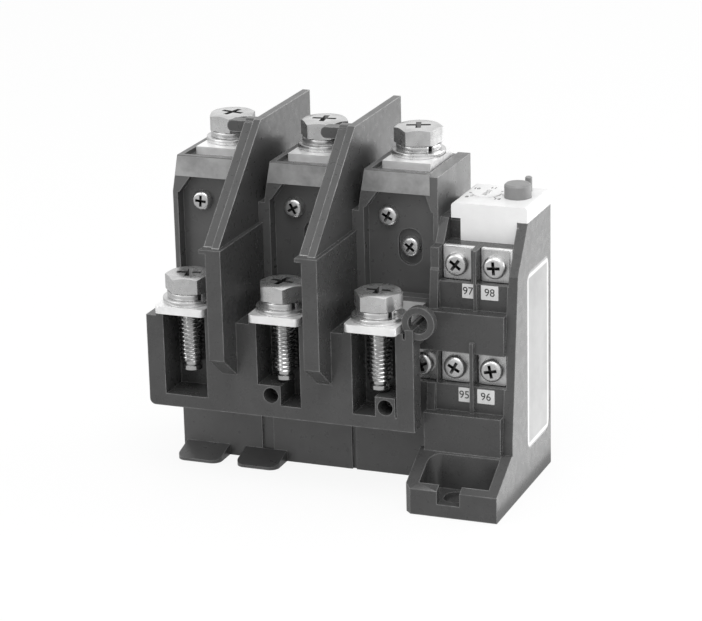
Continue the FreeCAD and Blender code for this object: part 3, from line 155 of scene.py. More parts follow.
class Shader:
    """Adds and links shader nodes round one Principled surface."""

    def __init__(self, name):
        self.material = bpy.data.materials.new(name)
        self.material.use_nodes = True
        self.tree = self.material.node_tree
        self.tree.nodes.clear()
        self.out = self.add("ShaderNodeOutputMaterial")
        self.bsdf = self.add("ShaderNodeBsdfPrincipled")
        self.link(self.bsdf, "BSDF", self.out, "Surface")
        self.coords = self.add("ShaderNodeTexCoord")

    def add(self, kind, **settings):
        """New shader node with these settings."""
        node = self.tree.nodes.new(kind)
        for key, value in settings.items():
            setattr(node, key, value)
        return node

    def link(self, source, source_socket, target, target_socket):
        """Link between two sockets, each given by name or by number."""
        self.tree.links.new(source.outputs[source_socket], target.inputs[target_socket])

    def set(self, **values):
        """Fixed values on the surface's own sockets."""
        for key, value in values.items():
            self.bsdf.inputs[key.replace("_", " ")].default_value = value

    def noise(self, scale, detail=2.0, roughness=0.5, stretch=(1.0, 1.0, 1.0)):
        """Noise over the object's own coordinates."""
        mapping = self.add("ShaderNodeMapping")
        mapping.inputs["Scale"].default_value = stretch
        self.link(self.coords, "Object", mapping, "Vector")
        node = self.add("ShaderNodeTexNoise")
        node.inputs["Scale"].default_value = scale
        node.inputs["Detail"].default_value = detail
        node.inputs["Roughness"].default_value = roughness
        self.link(mapping, "Vector", node, "Vector")
        return node

    def ramp(self, source, low, high):
        """Colours between low and high where the source runs over RAMP_SPAN."""
        node = self.add("ShaderNodeValToRGB")
        node.color_ramp.elements[0].position = RAMP_SPAN[0]
        node.color_ramp.elements[1].position = RAMP_SPAN[1]
        node.color_ramp.elements[0].color = low
        node.color_ramp.elements[1].color = high
        self.link(source, 0, node, "Fac")
        return node

    def gloss(self, source, span):
        """Roughness between the two values of the span, by the source."""
        self.link(self.ramp(source, grey(span[0]), grey(span[1])), 0, self.bsdf, "Roughness")

    def bump(self, source, strength, distance, after=None):
        """Relief on the surface, laid over another one where it is given."""
        node = self.add("ShaderNodeBump")
        node.inputs["Strength"].default_value = strength
        node.inputs["Distance"].default_value = distance
        self.link(source, 0, node, "Height")
        if after:
            self.link(after, "Normal", node, "Normal")
        self.link(node, "Normal", self.bsdf, "Normal")
        return node

    def math(self, operation, first, second):
        """Math node of two values, each a number or a (node, socket) pair."""
        node = self.add("ShaderNodeMath", operation=operation)
        for index, value in enumerate((first, second)):
            if isinstance(value, tuple):
                self.tree.links.new(value[0].outputs[value[1]], node.inputs[index])
            else:
                node.inputs[index].default_value = value
        return node

    def edge_highlight_mask(self, radius):
        """Mask of the painted edge highlight: 1 along edges and 0 on flats, broken up by noise."""
        bevel = self.add("ShaderNodeBevel", samples=EDGE_SAMPLES)
        bevel.inputs["Radius"].default_value = radius
        face = self.add("ShaderNodeNewGeometry")
        dot = self.add("ShaderNodeVectorMath", operation="DOT_PRODUCT")
        self.link(bevel, "Normal", dot, 0)
        self.link(face, "Normal", dot, 1)
        edge = self.add("ShaderNodeMapRange")
        edge.inputs["From Min"].default_value = EDGE_DOT[0]
        edge.inputs["From Max"].default_value = EDGE_DOT[1]
        self.link(dot, "Value", edge, "Value")
        patches = self.add("ShaderNodeMapRange")
        patches.inputs["From Min"].default_value = PATCH_SPAN[0]
        patches.inputs["From Max"].default_value = PATCH_SPAN[1]
        patches.inputs["To Min"].default_value = PATCH_LOW
        self.link(self.noise(PATCH_SCALE, detail=3.0, roughness=0.6), 0, patches, "Value")
        return self.math("MULTIPLY", (edge, 0), (patches, 0))

    def mix_colour(self, factor, first, second):
        """Colour that goes from first to the fixed second colour with the factor."""
        node = self.add("ShaderNodeMix", data_type="RGBA")
        self.tree.links.new(factor.outputs[0], node.inputs[0])
        self.tree.links.new(first.outputs[0], node.inputs[6])
        node.inputs[7].default_value = second
        return node


def plastic(name, low, high, rough, grain, edge):
    """Moulded plastic: cloudy tone, fine grain, edges lightened as a painted highlight."""
    s = Shader(name)
    tone = s.ramp(s.noise(PLASTIC_CLOUDS, detail=4.0, roughness=0.6), grey(low), grey(high))
    # Edges lightened towards the edge tone: a painted highlight along the edges and ridges.
    edge_lit = s.mix_colour(s.edge_highlight_mask(PLASTIC_EDGE), tone, grey(edge))
    s.tree.links.new(edge_lit.outputs[2], s.bsdf.inputs["Base Color"])
    s.gloss(s.noise(PLASTIC_GLOSS, detail=3.0, roughness=0.6), rough)
    flow = s.bump(s.noise(FLOW_SCALE), FLOW_STRENGTH, FLOW_DEPTH)
    s.bump(s.noise(GRAIN_SCALE, roughness=0.7), grain, GRAIN_DEPTH, after=flow)
    return s.material


def metal(name, low, high, rough, stretch, scratch, metallic=1.0):
    """Plated metal: cloudy plating, faint drawing lines, slight dents."""
    s = Shader(name)
    s.set(Metallic=metallic)
    tone = s.ramp(s.noise(METAL_CLOUDS, detail=4.0, roughness=0.6), low, high)
    s.link(tone, 0, s.bsdf, "Base Color")
    s.gloss(s.noise(METAL_GLOSS, detail=4.0, roughness=0.65), rough)
    dents = s.bump(s.noise(DENT_SCALE), DENT_STRENGTH, DENT_DEPTH)
    s.bump(s.noise(SCRATCH_SCALE, stretch=stretch), scratch, SCRATCH_DEPTH, after=dents)
    return s.material


def bordered(name, box, tone, border, line, inset):
    """Pale plate with one plain printed line round its edge, in the plate's Y and Z."""
    s = Shader(name)
    s.set(Specular_IOR_Level=PLATE_SPECULAR)
    low, high = box
    split = s.add("ShaderNodeSeparateXYZ")
    s.link(s.coords, "Object", split, "Vector")
    reach = []
    for axis, socket in ((1, "Y"), (2, "Z")):
        shifted = s.math("SUBTRACT", (split, socket), (low[axis] + high[axis]) / 2)
        size = s.math("ABSOLUTE", (shifted, 0), 0.0)
        reach.append(s.math("SUBTRACT", (size, 0), (high[axis] - low[axis]) / 2))
    rim = s.math("MAXIMUM", (reach[0], 0), (reach[1], 0))
    outer = s.math("LESS_THAN", (rim, 0), -inset)
    inner = s.math("GREATER_THAN", (rim, 0), -inset - line)
    band = s.math("MULTIPLY", (outer, 0), (inner, 0))
    clouds = s.noise(PLATE_CLOUDS, detail=4.0, roughness=0.6)
    base = s.ramp(clouds, grey(tone[0]), grey(tone[1]))
    colour = s.mix_colour(band, base, grey(border))
    s.tree.links.new(colour.outputs[2], s.bsdf.inputs["Base Color"])
    s.gloss(s.noise(PLATE_GLOSS, detail=3.0), PLATE_ROUGH)
    s.bump(s.noise(PLATE_GRAIN, detail=3.0), PLATE_GRAIN_STRENGTH, PLATE_GRAIN_DEPTH)
    return s.material


# Name, darker and lighter tone, roughness, strength of the grain, tone of the painted edge
# highlight.
BLACK = plastic("black_plastic", 0.050, 0.058, (0.25, 0.34), 0.12, 0.24)
# Lighter copy of the black plastic for the mounting base and the line block: painted light that
# lifts the shade falling on them.
BLACK_SHADE_LIFTED = plastic("black_plastic_shade_lifted", 0.080, 0.092, (0.27, 0.36), 0.12, 0.26)
FIN = plastic("fin_plastic", 0.055, 0.062, (0.27, 0.35), 0.12, 0.38)
BAND = plastic("band_plastic", 0.17, 0.31, (0.42, 0.55), 0.40, 0.30)
WHITE = plastic("white_plastic", 0.72, 0.78, (0.36, 0.48), 0.12, 0.80)
GREY = plastic("grey_plastic", 0.20, 0.25, (0.34, 0.46), 0.15, 0.30)
TILE = plastic("tile_plastic", 0.55, 0.62, (0.40, 0.50), 0.10, 0.66)
INK = plastic("ink", 0.020, 0.030, (0.45, 0.55), 0.05, 0.04)

# Name, darker and lighter colour, roughness, stretch and strength of the drawing lines, metallic.
STRIP_LOW = (0.40, 0.38, 0.35, 1.0)
STRIP_HIGH = (0.55, 0.53, 0.50, 1.0)
BRASS_LOW = (0.66, 0.50, 0.24, 1.0)
BRASS_HIGH = (0.80, 0.64, 0.34, 1.0)
STEEL = metal("plated_steel", grey(0.52), grey(0.66), (0.24, 0.36), (1.0, 1.0, 5.0), 0.08, 0.88)
THREAD = metal("bare_thread", grey(0.46), grey(0.60), (0.14, 0.22), (1.0, 1.0, 5.0), 0.05)
TIN = metal("tinned_plate", grey(0.88), grey(0.95), (0.30, 0.44), (6.0, 1.0, 1.0), 0.10, 0.6)
# Near-black steel: painted shade in the cross recesses of the screws and bolts, and on the screws
# set deep in the load block's holes.
SHADE_STEEL = metal("steel_painted_shade", grey(0.05), grey(0.09), (0.32, 0.45), (1.0, 5.0, 1.0), 0.10)
STRIP = metal("strip_metal", STRIP_LOW, STRIP_HIGH, (0.3, 0.5), (1.0, 6.0, 1.0), 0.12)
BRASS = metal("contact_brass", BRASS_LOW, BRASS_HIGH, (0.25, 0.4), (1.0, 6.0, 1.0), 0.12)

PALE = bordered("pale_plate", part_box("side_plate"), (0.31, 0.36), 0.56, PLATE_LINE, PLATE_INSET)

NODE_MATERIAL = {
    "mounting_base": BLACK_SHADE_LIFTED, "load_block": BLACK, "line_block": BLACK_SHADE_LIFTED, "control_case": BLACK,
    "phase_barrier_1": FIN, "phase_barrier_2": FIN, "dial_cover": WHITE, "setting_dial": WHITE,
    "side_plate": PALE, "number_tiles": TILE, "reset_button": GREY, "test_rod": GREY,
    "adjusting_cam": GREY, "push_bar": GREY, "trip_lever": GREY, "contact_carrier": GREY,
    "bimetal_strips": STRIP, "heater_windings": STRIP,
    "moving_contact": BRASS, "fixed_contacts": BRASS,
    "aux_plates": TIN, "line_plate_1": TIN, "line_plate_2": TIN, "line_plate_3": TIN,
    "load_plate_1": TIN, "load_plate_2": TIN, "load_plate_3": TIN,
}
# Width of the rounded edges.
EDGE = {
    "mounting_base": 0.3, "load_block": 0.3, "line_block": 0.25, "control_case": 0.25,
    "phase_barrier_1": 0.3, "phase_barrier_2": 0.3, "dial_cover": 0.3, "setting_dial": 0.15,
    "reset_button": 0.1, "aux_washers": 0.15, "aux_plates": 0.12, "flat_washers": 0.2,
    "spring_washers": 0.15, "number_tiles": 0.1, "line_plate_1": 0.25, "line_plate_2": 0.25,
    "line_plate_3": 0.25, "load_plate_1": 0.25, "load_plate_2": 0.25, "load_plate_3": 0.25,
}
EDGE_WELD = 0.01
EDGE_SEGMENTS = 2


def dress(piece, material):
    """The piece in one material."""
    piece.data.materials.clear()
    piece.data.materials.append(material)


def soften(piece, width):
    """Rounded edges by modifiers, with the mesh itself left alone."""
    merge = piece.modifiers.new("weld", "WELD")
    merge.merge_threshold = EDGE_WELD * MM
    bevel = piece.modifiers.new("edge", "BEVEL")
    bevel.width = width * MM
    bevel.segments = EDGE_SEGMENTS
    bevel.limit_method = "ANGLE"
    bevel.angle_limit = SHARP_ANGLE


def linked(name, data):
    """New object of the scene."""
    piece = bpy.data.objects.new(name, data)
    bpy.context.scene.collection.objects.link(piece)
    return piece


def final_mesh(source):
    """Mesh of an object as it is shown; the object itself is removed."""
    graph = bpy.context.evaluated_depsgraph_get()
    mesh = bpy.data.meshes.new_from_object(source.evaluated_get(graph))
    bpy.data.objects.remove(source)
    return mesh


def turned(angle, axis):
    """Rotation about one axis."""
    return Matrix.Rotation(math.radians(angle), 4, axis)


for name, piece in nodes.items():
    dress(piece, NODE_MATERIAL.get(name, STEEL))
    if name in EDGE:
        soften(piece, EDGE[name])


# ---- places read from the frame ----
def islands(name):
    """Boxes of the separate solids of one CAD node, from the bottom up and left to right."""
    mesh = bmesh.new()
    mesh.from_mesh(nodes[name].data)
    bmesh.ops.remove_doubles(mesh, verts=mesh.verts, dist=SAME_POINT * MM)
    left = set(mesh.verts)
    boxes = []
    while left:
        stack = [left.pop()]
        points = []
        while stack:
            vert = stack.pop()
            points.append(vert.co.copy())
            for edge in vert.link_edges:
                other = edge.other_vert(vert)
                if other in left:
                    left.remove(other)
                    stack.append(other)
        low = Vector([min(point[axis] for point in points) for axis in range(3)])
        high = Vector([max(point[axis] for point in points) for axis in range(3)])
        boxes.append((low, high))
    mesh.free()
    return sorted(boxes, key=lambda box: (round(box[0].z, 4), round(box[0].x, 4)))


# ---- screw building ----
def loop(bm, radius, height):
    """Closed loop of points; radius and height may change with the angle."""
    verts = []
    for number in range(SIDES):
        angle = 2 * math.pi * number / SIDES
        reach = radius(angle) if callable(radius) else radius
        level = height(angle) if callable(height) else height
        verts.append(bm.verts.new((reach * math.cos(angle), reach * math.sin(angle), level)))
    return verts


def skin(bm, lower, upper):
    """Faces between two loops of equal count."""
    count = len(lower)
    for number in range(count):
        after = (number + 1) % count
        bm.faces.new((lower[number], lower[after], upper[after], upper[number]))


def cross_loop(bm, reach, half, level):
    """Twelve points of a plus sign."""
    spots = [
        (reach, -half), (reach, half), (half, half), (half, reach),
        (-half, reach), (-half, half), (-reach, half), (-reach, -half),
        (-half, -half), (-half, -reach), (half, -reach), (half, -half),
    ]
    return [bm.verts.new((x, y, level)) for x, y in spots]


def crossed_top(bm, rim, level, reach, half, depth):
    """Flat top with a tapered cross recess, whose faces go to the slot of painted shade."""
    opening = cross_loop(bm, reach, half, level)
    edges = []
    for ring in (rim, opening):
        for number, vert in enumerate(ring):
            other = ring[(number + 1) % len(ring)]
            edges.append(bm.edges.get((vert, other)) or bm.edges.new((vert, other)))
    bmesh.ops.triangle_fill(bm, use_beauty=True, use_dissolve=False, edges=edges, normal=(0, 0, 1))
    floor = cross_loop(bm, reach * CROSS_FLOOR_REACH, half * CROSS_FLOOR_HALF, level - depth)
    before = set(bm.faces)
    skin(bm, floor, opening)
    bm.faces.new(floor)
    for face in set(bm.faces) - before:
        face.material_index = RECESS_SLOT


def hex_radius(flats):
    """Distance from the axis to the hexagon's side, by angle, with its corners eased."""
    corner = flats / math.sqrt(3) - CORNER_SOFT * MM

    def radius(angle):
        off = math.fmod(angle, math.pi / 3) - math.pi / 6
        return min(flats / 2 / math.cos(off), corner)
    return radius


def tooth(phase):
    """Depth of the thread, 0 on the crest and 1 in the root."""
    across = abs(2 * (phase - math.floor(phase)) - 1)
    return min(max((across - CREST_SHARE) / FLANK_SHARE, 0.0), 1.0)


def thread_loops(bm, high, low):
    """Helical thread from the head down."""
    rows = math.ceil((high - low) / (THREAD_PITCH * MM) * THREAD_ROWS)
    loops = []
    for row in range(rows + 1):
        level = high - (high - low) * row / rows
        fade = min((high - level) / (THREAD_START * MM), 1.0)

        def radius(angle, level=level, fade=fade):
            phase = level / (THREAD_PITCH * MM) - angle / (2 * math.pi)
            return (THREAD_R - THREAD_DEPTH * fade * tooth(phase)) * MM
        loops.append(loop(bm, radius, level))
    return loops


def tip_loops(bm, high, low, pointed):
    """Neck and tip below the thread, or a plain tapered end."""
    if not pointed:
        return [loop(bm, NECK_R * MM, low)]
    shoulder = low + TIP_LENGTH * MM
    chamfer = TIP_CHAMFER * MM
    return [
        loop(bm, NECK_R * MM, high), loop(bm, NECK_R * MM, shoulder),
        loop(bm, TIP_R * MM - chamfer, shoulder), loop(bm, TIP_R * MM, shoulder - chamfer),
        loop(bm, TIP_R * MM, low + chamfer), loop(bm, TIP_R * MM - chamfer, low),
    ]


def hex_loops(bm, flats, seat, top):
    """Washer face, six sides and the top chamfer of a bolt head."""
    side = hex_radius(flats)
    flat_r = flats / 2 * CHAMFER_SHARE
    face_r = flats / 2 * WASHER_FACE_SHARE
    under = seat + WASHER_FACE * MM

    def crown(angle):
        return top - (side(angle) - flat_r) * math.tan(CHAMFER_ANGLE)
    return [
        loop(bm, face_r, seat), loop(bm, face_r, under),
        loop(bm, side, under), loop(bm, side, crown), loop(bm, flat_r, top),
    ]


def close(bm, loops):
    """Skin all loops in turn and cap the first one."""
    for lower, upper in zip(loops, loops[1:]):
        skin(bm, lower, upper)
    bm.faces.new(loops[0])


def finished(bm, name, place, material, node):
    """Smooth object on the housing, in place of a CAD node where one is named."""
    bmesh.ops.recalc_face_normals(bm, faces=bm.faces)
    mesh = bpy.data.meshes.new(name)
    bm.to_mesh(mesh)
    bm.free()
    mesh.transform(place)
    mesh.shade_smooth()
    mesh.set_sharp_from_angle(angle=SHARP_ANGLE)
    piece = linked(name, mesh)
    mesh.materials.append(material)
    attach(piece, "housing")
    if node:
        # The recess slot takes near-black steel: painted shade in the cross recess.
        mesh.materials.append(SHADE_STEEL)
        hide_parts(node)
    return piece


def hex_bolt(name, box, seat, pointed, turn, node):
    """Threaded hex bolt with a cross recess, upright on its seat."""
    low, high = box
    flats = high.y - low.y
    bm = bmesh.new()
    thread_low = low.z + (TIP_LENGTH + NECK_LENGTH if pointed else TIP_CHAMFER) * MM
    shank = thread_loops(bm, seat, thread_low) + tip_loops(bm, thread_low, low.z, pointed)
    loops = list(reversed(shank)) + hex_loops(bm, flats, seat, high.z)
    close(bm, loops)
    reach, half, depth = (size * MM for size in HEX_CROSS)
    crossed_top(bm, loops[-1], high.z, reach, half, depth)
    for face in bm.faces:
        if face.calc_center_median().z < seat:
            face.material_index = THREAD_SLOT
    centre = (low + high) / 2
    place = Matrix.Translation((centre.x, centre.y, 0)) @ turned(turn, "Z")
    piece = finished(bm, name, place, STEEL, node)
    piece.data.materials.append(THREAD)


def pan_screw(name, box, head, turn, node, material):
    """Domed screw that faces the front."""
    low, high = box
    radius = (high.x - low.x) / 2
    height = head * MM
    bm = bmesh.new()
    shank = radius * PAN_SHANK_SHARE
    loops = [loop(bm, shank, height - (high.y - low.y)), loop(bm, shank, 0), loop(bm, radius, 0)]
    flat = radius * PAN_FLAT_SHARE
    side = height * PAN_SIDE_SHARE
    for step in range(PAN_DOME_STEPS + 1):
        angle = math.pi / 2 * step / PAN_DOME_STEPS
        level = side + (height - side) * math.sin(angle)
        loops.append(loop(bm, flat + (radius - flat) * math.cos(angle), level))
    close(bm, loops)
    crossed_top(bm, loops[-1], height, radius * CROSS_REACH_SHARE, radius * CROSS_HALF_SHARE,
                height * CROSS_DEPTH_SHARE)
    centre = (low + high) / 2
    place = Matrix.Translation((centre.x, low.y + height, centre.z))
    place = place @ turned(90, "X") @ turned(turn, "Z")
    finished(bm, name, place, material, node)


def seats_of(bolts, washers):
    """Top of the spring washer under each bolt."""
    seats = []
    for low, high in bolts:
        x = (low.x + high.x) / 2
        in_line = [box for box in washers if abs((box[0].x + box[1].x) / 2 - x) < SAME_AXIS * MM]
        under = [box for box in in_line if box[1].z < high.z]
        seats.append(max(box[1].z for box in under))
    return seats


def place_bolts():
    """The six hex bolts, each turned a little differently."""
    washers = islands("spring_washers")
    rows = (("load_bolts", True, LOAD_BOLT_TURNS), ("line_bolts", False, LINE_BOLT_TURNS))
    for node, pointed, turns in rows:
        bolts = islands(node)
        for number, (box, seat) in enumerate(zip(bolts, seats_of(bolts, washers))):
            hex_bolt(f"{node[:-1]}_{number + 1}", box, seat, pointed, turns[number], node)


def place_pan_screws():
    """Pan screws of the hoods, the auxiliary terminals and the load block."""
    groups = (
        ("heater_screws", HEATER_HEAD, HEATER_TURN_STEP, STEEL),
        ("aux_screws", AUX_HEAD, AUX_TURN_STEP, STEEL),
        # The load block's screws are near-black steel: painted shade of the holes they sit in.
        ("block_screws", BLOCK_HEAD, BLOCK_TURN_STEP, SHADE_STEEL),
    )
    for node, head, step, material in groups:
        for number, box in enumerate(islands(node)):
            turn = FIRST_SCREW_TURN + step * number
            pan_screw(f"{node[:-1]}_{number + 1}", box, head, turn, node, material)


place_bolts()
place_pan_screws()


# ---- return spring of the reset button ----
WIRE_R = 0.3
WIRE_SIDES = 12
COIL_TURNS = 3
COIL_STEPS = 40


def return_coil():
    """Round-wire coil in the place of the reset spring."""
    low, high = (Vector(corner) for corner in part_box("reset_spring"))
    wire = WIRE_R * MM
    centre = (low + high) / 2
    reach = (high.x - low.x) / 2 - wire
    bottom = low.z + wire
    rise = high.z - wire - bottom
    rows = COIL_TURNS * COIL_STEPS
    bm = bmesh.new()
    rings = []
    for row in range(rows + 1):
        turn = 2 * math.pi * COIL_TURNS * row / rows
        outward = Vector((math.cos(turn), math.sin(turn), 0))
        middle = Vector((centre.x, centre.y, bottom + rise * row / rows)) + outward * reach
        ring = []
        for side in range(WIRE_SIDES):
            angle = 2 * math.pi * side / WIRE_SIDES
            lift = Vector((0, 0, wire * math.sin(angle)))
            ring.append(bm.verts.new(middle + outward * wire * math.cos(angle) + lift))
        rings.append(ring)
    for lower, upper in zip(rings, rings[1:]):
        skin(bm, lower, upper)
    bm.faces.new(rings[0])
    bm.faces.new(rings[-1])
    piece = finished(bm, "return_coil", Matrix.Identity(4), STEEL, "reset_spring")
    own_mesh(piece)


return_coil()


# ---- paler front bands of the three towers ----
BAND_THICK = 0.08
BAND_LOW = 3.9
BAND_HIGH = 0.9
BAND_LEFT = 7.9
BAND_RIGHT = 7.6
BAND_LEAN = 0.9
LINE_PLATE_THICK = 1.8
HOOD_FRONT_Y = -4.25


def hood_band(number):
    """Thin matt layer on one tower's front band."""
    low, high = (Vector(corner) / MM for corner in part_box(f"line_plate_{number}"))
    x = (low.x + high.x) / 2
    seat = high.z - LINE_PLATE_THICK
    outline = [(x - BAND_LEFT - BAND_LEAN, seat - BAND_LOW), (x + BAND_RIGHT, seat - BAND_LOW),
               (x + BAND_RIGHT, seat + BAND_HIGH), (x - BAND_LEFT, seat + BAND_HIGH)]
    bm = bmesh.new()
    back = [bm.verts.new((u * MM, HOOD_FRONT_Y * MM, w * MM)) for u, w in outline]
    front = [bm.verts.new((u * MM, (HOOD_FRONT_Y - BAND_THICK) * MM, w * MM)) for u, w in outline]
    skin(bm, back, front)
    bm.faces.new(front)
    bm.faces.new(back[::-1])
    finished(bm, f"hood_band_{number}", Matrix.Identity(4), BAND, None)


for number in (1, 2, 3):
    hood_band(number)


def prism(outline, left, right):
    """Bar along X between two places in metres, with an outline of y and z in millimetres."""
    bm = bmesh.new()
    ends = []
    for x in (left, right):
        ends.append([bm.verts.new((x, y * MM, z * MM)) for y, z in outline])
    skin(bm, *ends)
    for end in ends:
        bm.faces.new(end)
    return bm


# ---- load block with the walls' short sloping underside ----
WALL_LOW_Z = 32.2
WALL_HEEL_Z = 26.8
LOAD_FRONT_Y = -21.65
BLOCK_LOW_Z = 17.5
CUT_SPARE = 2.0
CUT_GAP = 0.002


def wall_cutter(low, high):
    """Wedge that takes the lower front off the walls, just in front of the block."""
    near = low.y / MM
    slope = (WALL_LOW_Z - WALL_HEEL_Z) / (LOAD_FRONT_Y - near)
    floor = low.z / MM - CUT_SPARE
    outline = [
        (near - CUT_SPARE, WALL_LOW_Z + slope * CUT_SPARE),
        (LOAD_FRONT_Y - CUT_GAP, WALL_HEEL_Z),
        (LOAD_FRONT_Y - CUT_GAP, BLOCK_LOW_Z - CUT_GAP),
        (LOAD_FRONT_Y + CUT_SPARE, BLOCK_LOW_Z - CUT_GAP),
        (LOAD_FRONT_Y + CUT_SPARE, floor),
        (near - CUT_SPARE, floor),
    ]
    bm = prism(outline, low.x - CUT_SPARE * MM, high.x + CUT_SPARE * MM)
    bmesh.ops.recalc_face_normals(bm, faces=bm.faces)
    mesh = bpy.data.meshes.new("wall_cutter")
    bm.to_mesh(mesh)
    bm.free()
    return linked("wall_cutter", mesh)


def trimmed_block():
    """Copy of the load block whose walls end in a short slope, in place of the CAD node."""
    low, high = (Vector(corner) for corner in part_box("load_block"))
    cutter = wall_cutter(low, high)
    source = linked("load_block_copy", nodes["load_block"].data.copy())
    merge = source.modifiers.new("weld", "WELD")
    merge.merge_threshold = SAME_POINT * MM
    cut = source.modifiers.new("cut", "BOOLEAN")
    cut.operation = "DIFFERENCE"
    cut.solver = "EXACT"
    cut.object = cutter
    mesh = final_mesh(source)
    bpy.data.objects.remove(cutter)
    piece = linked("load_block_shell", mesh)
    dress(piece, BLACK)
    soften(piece, EDGE["load_block"])
    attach(piece, "housing")
    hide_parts("load_block")


trimmed_block()


# ---- front wall of the case behind the cover's tab ----
CASE_INNER_FRONT_Y = -3.4
CASE_BODY_FRONT_Y = -1.3
CASE_TOP_Z = 62.4
CASE_INNER_TOP_DROP = 1.0
CASE_RIGHT_WALL = 2.0
CASE_LEFT_OF_COVER = 0.5
WEB_THICK = 0.9
WEB_SEAT = 0.2
WEB_DROP = 0.02
WEB_EDGE = 0.05


def front_web():
    """Angle section that closes the case in front, between its step and its top."""
    cover_low, cover_high = (Vector(corner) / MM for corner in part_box("dial_cover"))
    case_high = Vector(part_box("control_case")[1]) / MM
    step = cover_low.z - WEB_DROP
    top = CASE_TOP_Z - CASE_INNER_TOP_DROP + WEB_SEAT
    back = CASE_BODY_FRONT_Y + WEB_THICK
    face = CASE_BODY_FRONT_Y + WEB_DROP
    outline = [(CASE_INNER_FRONT_Y - WEB_SEAT, step), (face, step), (face, top), (back, top),
               (back, step - WEB_THICK), (CASE_INNER_FRONT_Y - WEB_SEAT, step - WEB_THICK)]
    left = cover_low.x - CASE_LEFT_OF_COVER - WEB_SEAT
    right = case_high.x - CASE_RIGHT_WALL + WEB_SEAT
    bm = prism(outline, left * MM, right * MM)
    piece = finished(bm, "case_front_web", Matrix.Identity(4), BLACK, None)
    soften(piece, WEB_EDGE)


front_web()


# ---- printed marks ----
def printed(name, body, height, place):
    """Plain number as a thin layer of ink."""
    curve = bpy.data.curves.new(name, "FONT")
    curve.body = body
    curve.size = height / CAP_SHARE * MM
    curve.align_x = "CENTER"
    curve.align_y = "CENTER"
    curve.extrude = INK_THICK * MM
    mesh = final_mesh(linked(name + "_curve", curve))
    bm = bmesh.new()
    bm.from_mesh(mesh)
    bmesh.ops.remove_doubles(bm, verts=bm.verts, dist=WELD_REACH * MM)
    bmesh.ops.dissolve_degenerate(bm, dist=WELD_REACH * MM, edges=bm.edges)
    bm.to_mesh(mesh)
    bm.free()
    mesh.transform(place)
    piece = linked(name, mesh)
    dress(piece, INK)
    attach(piece, "housing")


def tile_numbers():
    """One number on each tile."""
    upright = turned(90, "X")
    for body, (low, high) in zip(TILE_NUMBERS, islands("number_tiles")):
        centre = (low + high) / 2
        place = Matrix.Translation((centre.x, low.y - INK_THICK * MM, centre.z)) @ upright
        printed("number_" + body, body, TILE_NUMBER_HEIGHT, place)


def scale_marks():
    """Ticks and numbers round the dial."""
    low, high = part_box("setting_dial")
    centre = (Vector(low) + Vector(high)) / 2
    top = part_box("dial_cover")[1][2]
    radius = (high[0] - low[0]) / 2 - DIAL_LIP * MM
    level = top + INK_THICK * MM
    bm = bmesh.new()
    near = radius + TICK_GAP * MM
    far = near + TICK_LENGTH * MM
    half = TICK_WIDTH / 2 * MM
    for angle in range(-SCALE_STEP, SCALE_LAST + 1, SCALE_STEP):
        turn = Matrix.Translation((centre.x, centre.y, level)) @ turned(angle, "Z")
        corners = []
        for height in (-INK_THICK * MM, INK_THICK * MM):
            for x, y in ((near, -half), (far, -half), (far, half), (near, half)):
                corners.append(bm.verts.new(turn @ Vector((x, y, height))))
        bm.faces.new(corners[:4][::-1])
        bm.faces.new(corners[4:])
        skin(bm, corners[:4], corners[4:])
    finished(bm, "scale_ticks", Matrix.Identity(4), INK, None)
    for angle, body in SCALE_NUMBERS.items():
        reach = radius + SCALE_NUMBER_GAP * MM
        x = centre.x + reach * math.cos(math.radians(angle))
        y = centre.y + reach * math.sin(math.radians(angle))
        printed("scale_" + body, body, SCALE_NUMBER_HEIGHT, Matrix.Translation((x, y, level)))


tile_numbers()
scale_marks()

# ---- stage, light, camera ----
TARGET = (0.0, 0.0, 0.035)
BOUNCE_TARGET = (0.1275, 0.175, 1.0)
FLOOR_HALF = 3.0
FLOOR_DROP = 0.0002
FLOOR_WHITE = 0.90
FLOOR_GLOSS = 0.62
WORLD_LIGHT = 0.70
WORLD_GLOSS = 1.0
FLOOR_GREY = 0.85
FLOOR_ROUGH = 0.9
FLOOR_SPECULAR = 0.1
LENS = 142.25
SENSOR = 36.0
CAMERA_PLACE = (0.2226, -0.5649, 0.2334)
CAMERA_RIGHT = (0.9324, 0.3607, -0.0236)
CAMERA_UP = (-0.0899, 0.2947, 0.9514)
CLIP = (0.01, 10.0)
# Place, what it faces, size and power.
LAMPS = {
    "key": ((0.15, -0.30, 0.80), TARGET, (0.6, 0.6), 3.8),
    "right": ((0.75, 0.45, 0.22), TARGET, (0.9, 0.4), 5.0),
    "bounce": ((0.1275, 0.175, 0.0005), BOUNCE_TARGET, (0.165, 0.39), 0.25),
    "fill": ((-0.60, -0.60, 0.40), TARGET, (0.6, 0.6), 2.0),
}


def white_stage():
    """Floor that is nearly white to the camera and a little darker in reflections."""
    mesh = bpy.data.meshes.new("floor")
    far = FLOOR_HALF
    corners = [(-far, -far, 0), (far, -far, 0), (far, far, 0), (-far, far, 0)]
    mesh.from_pydata(corners, [], [(0, 1, 2, 3)])
    floor = linked("floor", mesh)
    s = Shader("floor_white")
    s.set(Base_Color=grey(FLOOR_GREY), Roughness=FLOOR_ROUGH, Specular_IOR_Level=FLOOR_SPECULAR)
    path = s.add("ShaderNodeLightPath")
    shine = s.add("ShaderNodeEmission")
    level = s.add("ShaderNodeMapRange")
    level.inputs["To Min"].default_value = 1.0
    level.inputs["To Max"].default_value = FLOOR_GLOSS
    s.link(path, "Is Glossy Ray", level, "Value")
    s.link(level, 0, shine, "Strength")
    seen = s.math("MULTIPLY", (path, "Is Camera Ray"), FLOOR_WHITE)
    share = s.math("ADD", (seen, 0), (path, "Is Glossy Ray"))
    mix = s.add("ShaderNodeMixShader")
    s.link(share, 0, mix, 0)
    s.link(s.bsdf, 0, mix, 1)
    s.link(shine, 0, mix, 2)
    s.link(mix, 0, s.out, "Surface")
    mesh.materials.append(s.material)
    floor.location = (0, 0, -FLOOR_DROP)


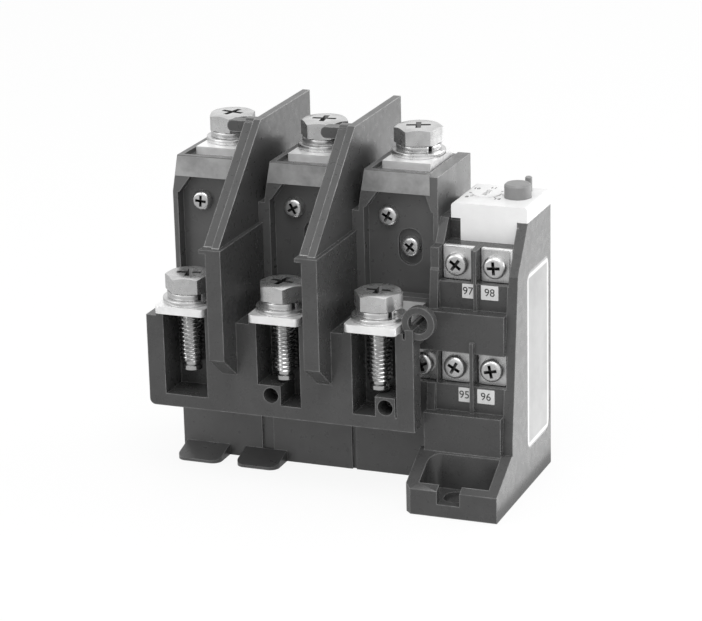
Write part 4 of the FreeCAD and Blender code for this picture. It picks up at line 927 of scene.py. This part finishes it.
def lamp(name, place, target, size, power):
    """Soft rectangular lamp, seen in reflections only."""
    data = bpy.data.lights.new(name, "AREA")
    data.shape = "RECTANGLE"
    data.size, data.size_y = size
    data.energy = power
    piece = linked(name, data)
    piece.location = place
    direction = Vector(target) - Vector(place)
    piece.rotation_euler = direction.to_track_quat("-Z", "Y").to_euler()
    piece.visible_camera = False


def world_light():
    """White surroundings for the camera and in reflections, dimmer in the light they give."""
    world = bpy.data.worlds.new("studio")
    bpy.context.scene.world = world
    world.use_nodes = True
    tree = world.node_tree
    background = tree.nodes["Background"]
    background.inputs["Color"].default_value = grey(1.0)
    path = tree.nodes.new("ShaderNodeLightPath")
    seen = tree.nodes.new("ShaderNodeMath")
    seen.operation = "MAXIMUM"
    tree.links.new(path.outputs["Is Camera Ray"], seen.inputs[0])
    tree.links.new(path.outputs["Is Transmission Ray"], seen.inputs[1])
    shiny = tree.nodes.new("ShaderNodeMapRange")
    shiny.inputs["To Min"].default_value = WORLD_LIGHT
    shiny.inputs["To Max"].default_value = WORLD_GLOSS
    tree.links.new(path.outputs["Is Glossy Ray"], shiny.inputs["Value"])
    level = tree.nodes.new("ShaderNodeMath")
    level.operation = "MAXIMUM"
    tree.links.new(seen.outputs[0], level.inputs[0])
    tree.links.new(shiny.outputs[0], level.inputs[1])
    tree.links.new(level.outputs[0], background.inputs["Strength"])


def photo_camera():
    """Camera at the photograph's angle."""
    data = bpy.data.cameras.new("camera")
    data.lens = LENS
    data.sensor_width = SENSOR
    data.clip_start, data.clip_end = CLIP
    camera = linked("camera", data)
    right = Vector(CAMERA_RIGHT).normalized()
    up = Vector(CAMERA_UP)
    back = right.cross(up).normalized()
    up = back.cross(right).normalized()
    turn = Matrix((right, up, back)).transposed().to_4x4()
    camera.matrix_world = Matrix.Translation(CAMERA_PLACE) @ turn
    bpy.context.scene.camera = camera


white_stage()
world_light()
for name, settings in LAMPS.items():
    lamp(name, *settings)
photo_camera()

bpy.context.scene.view_settings.view_transform = "Standard"
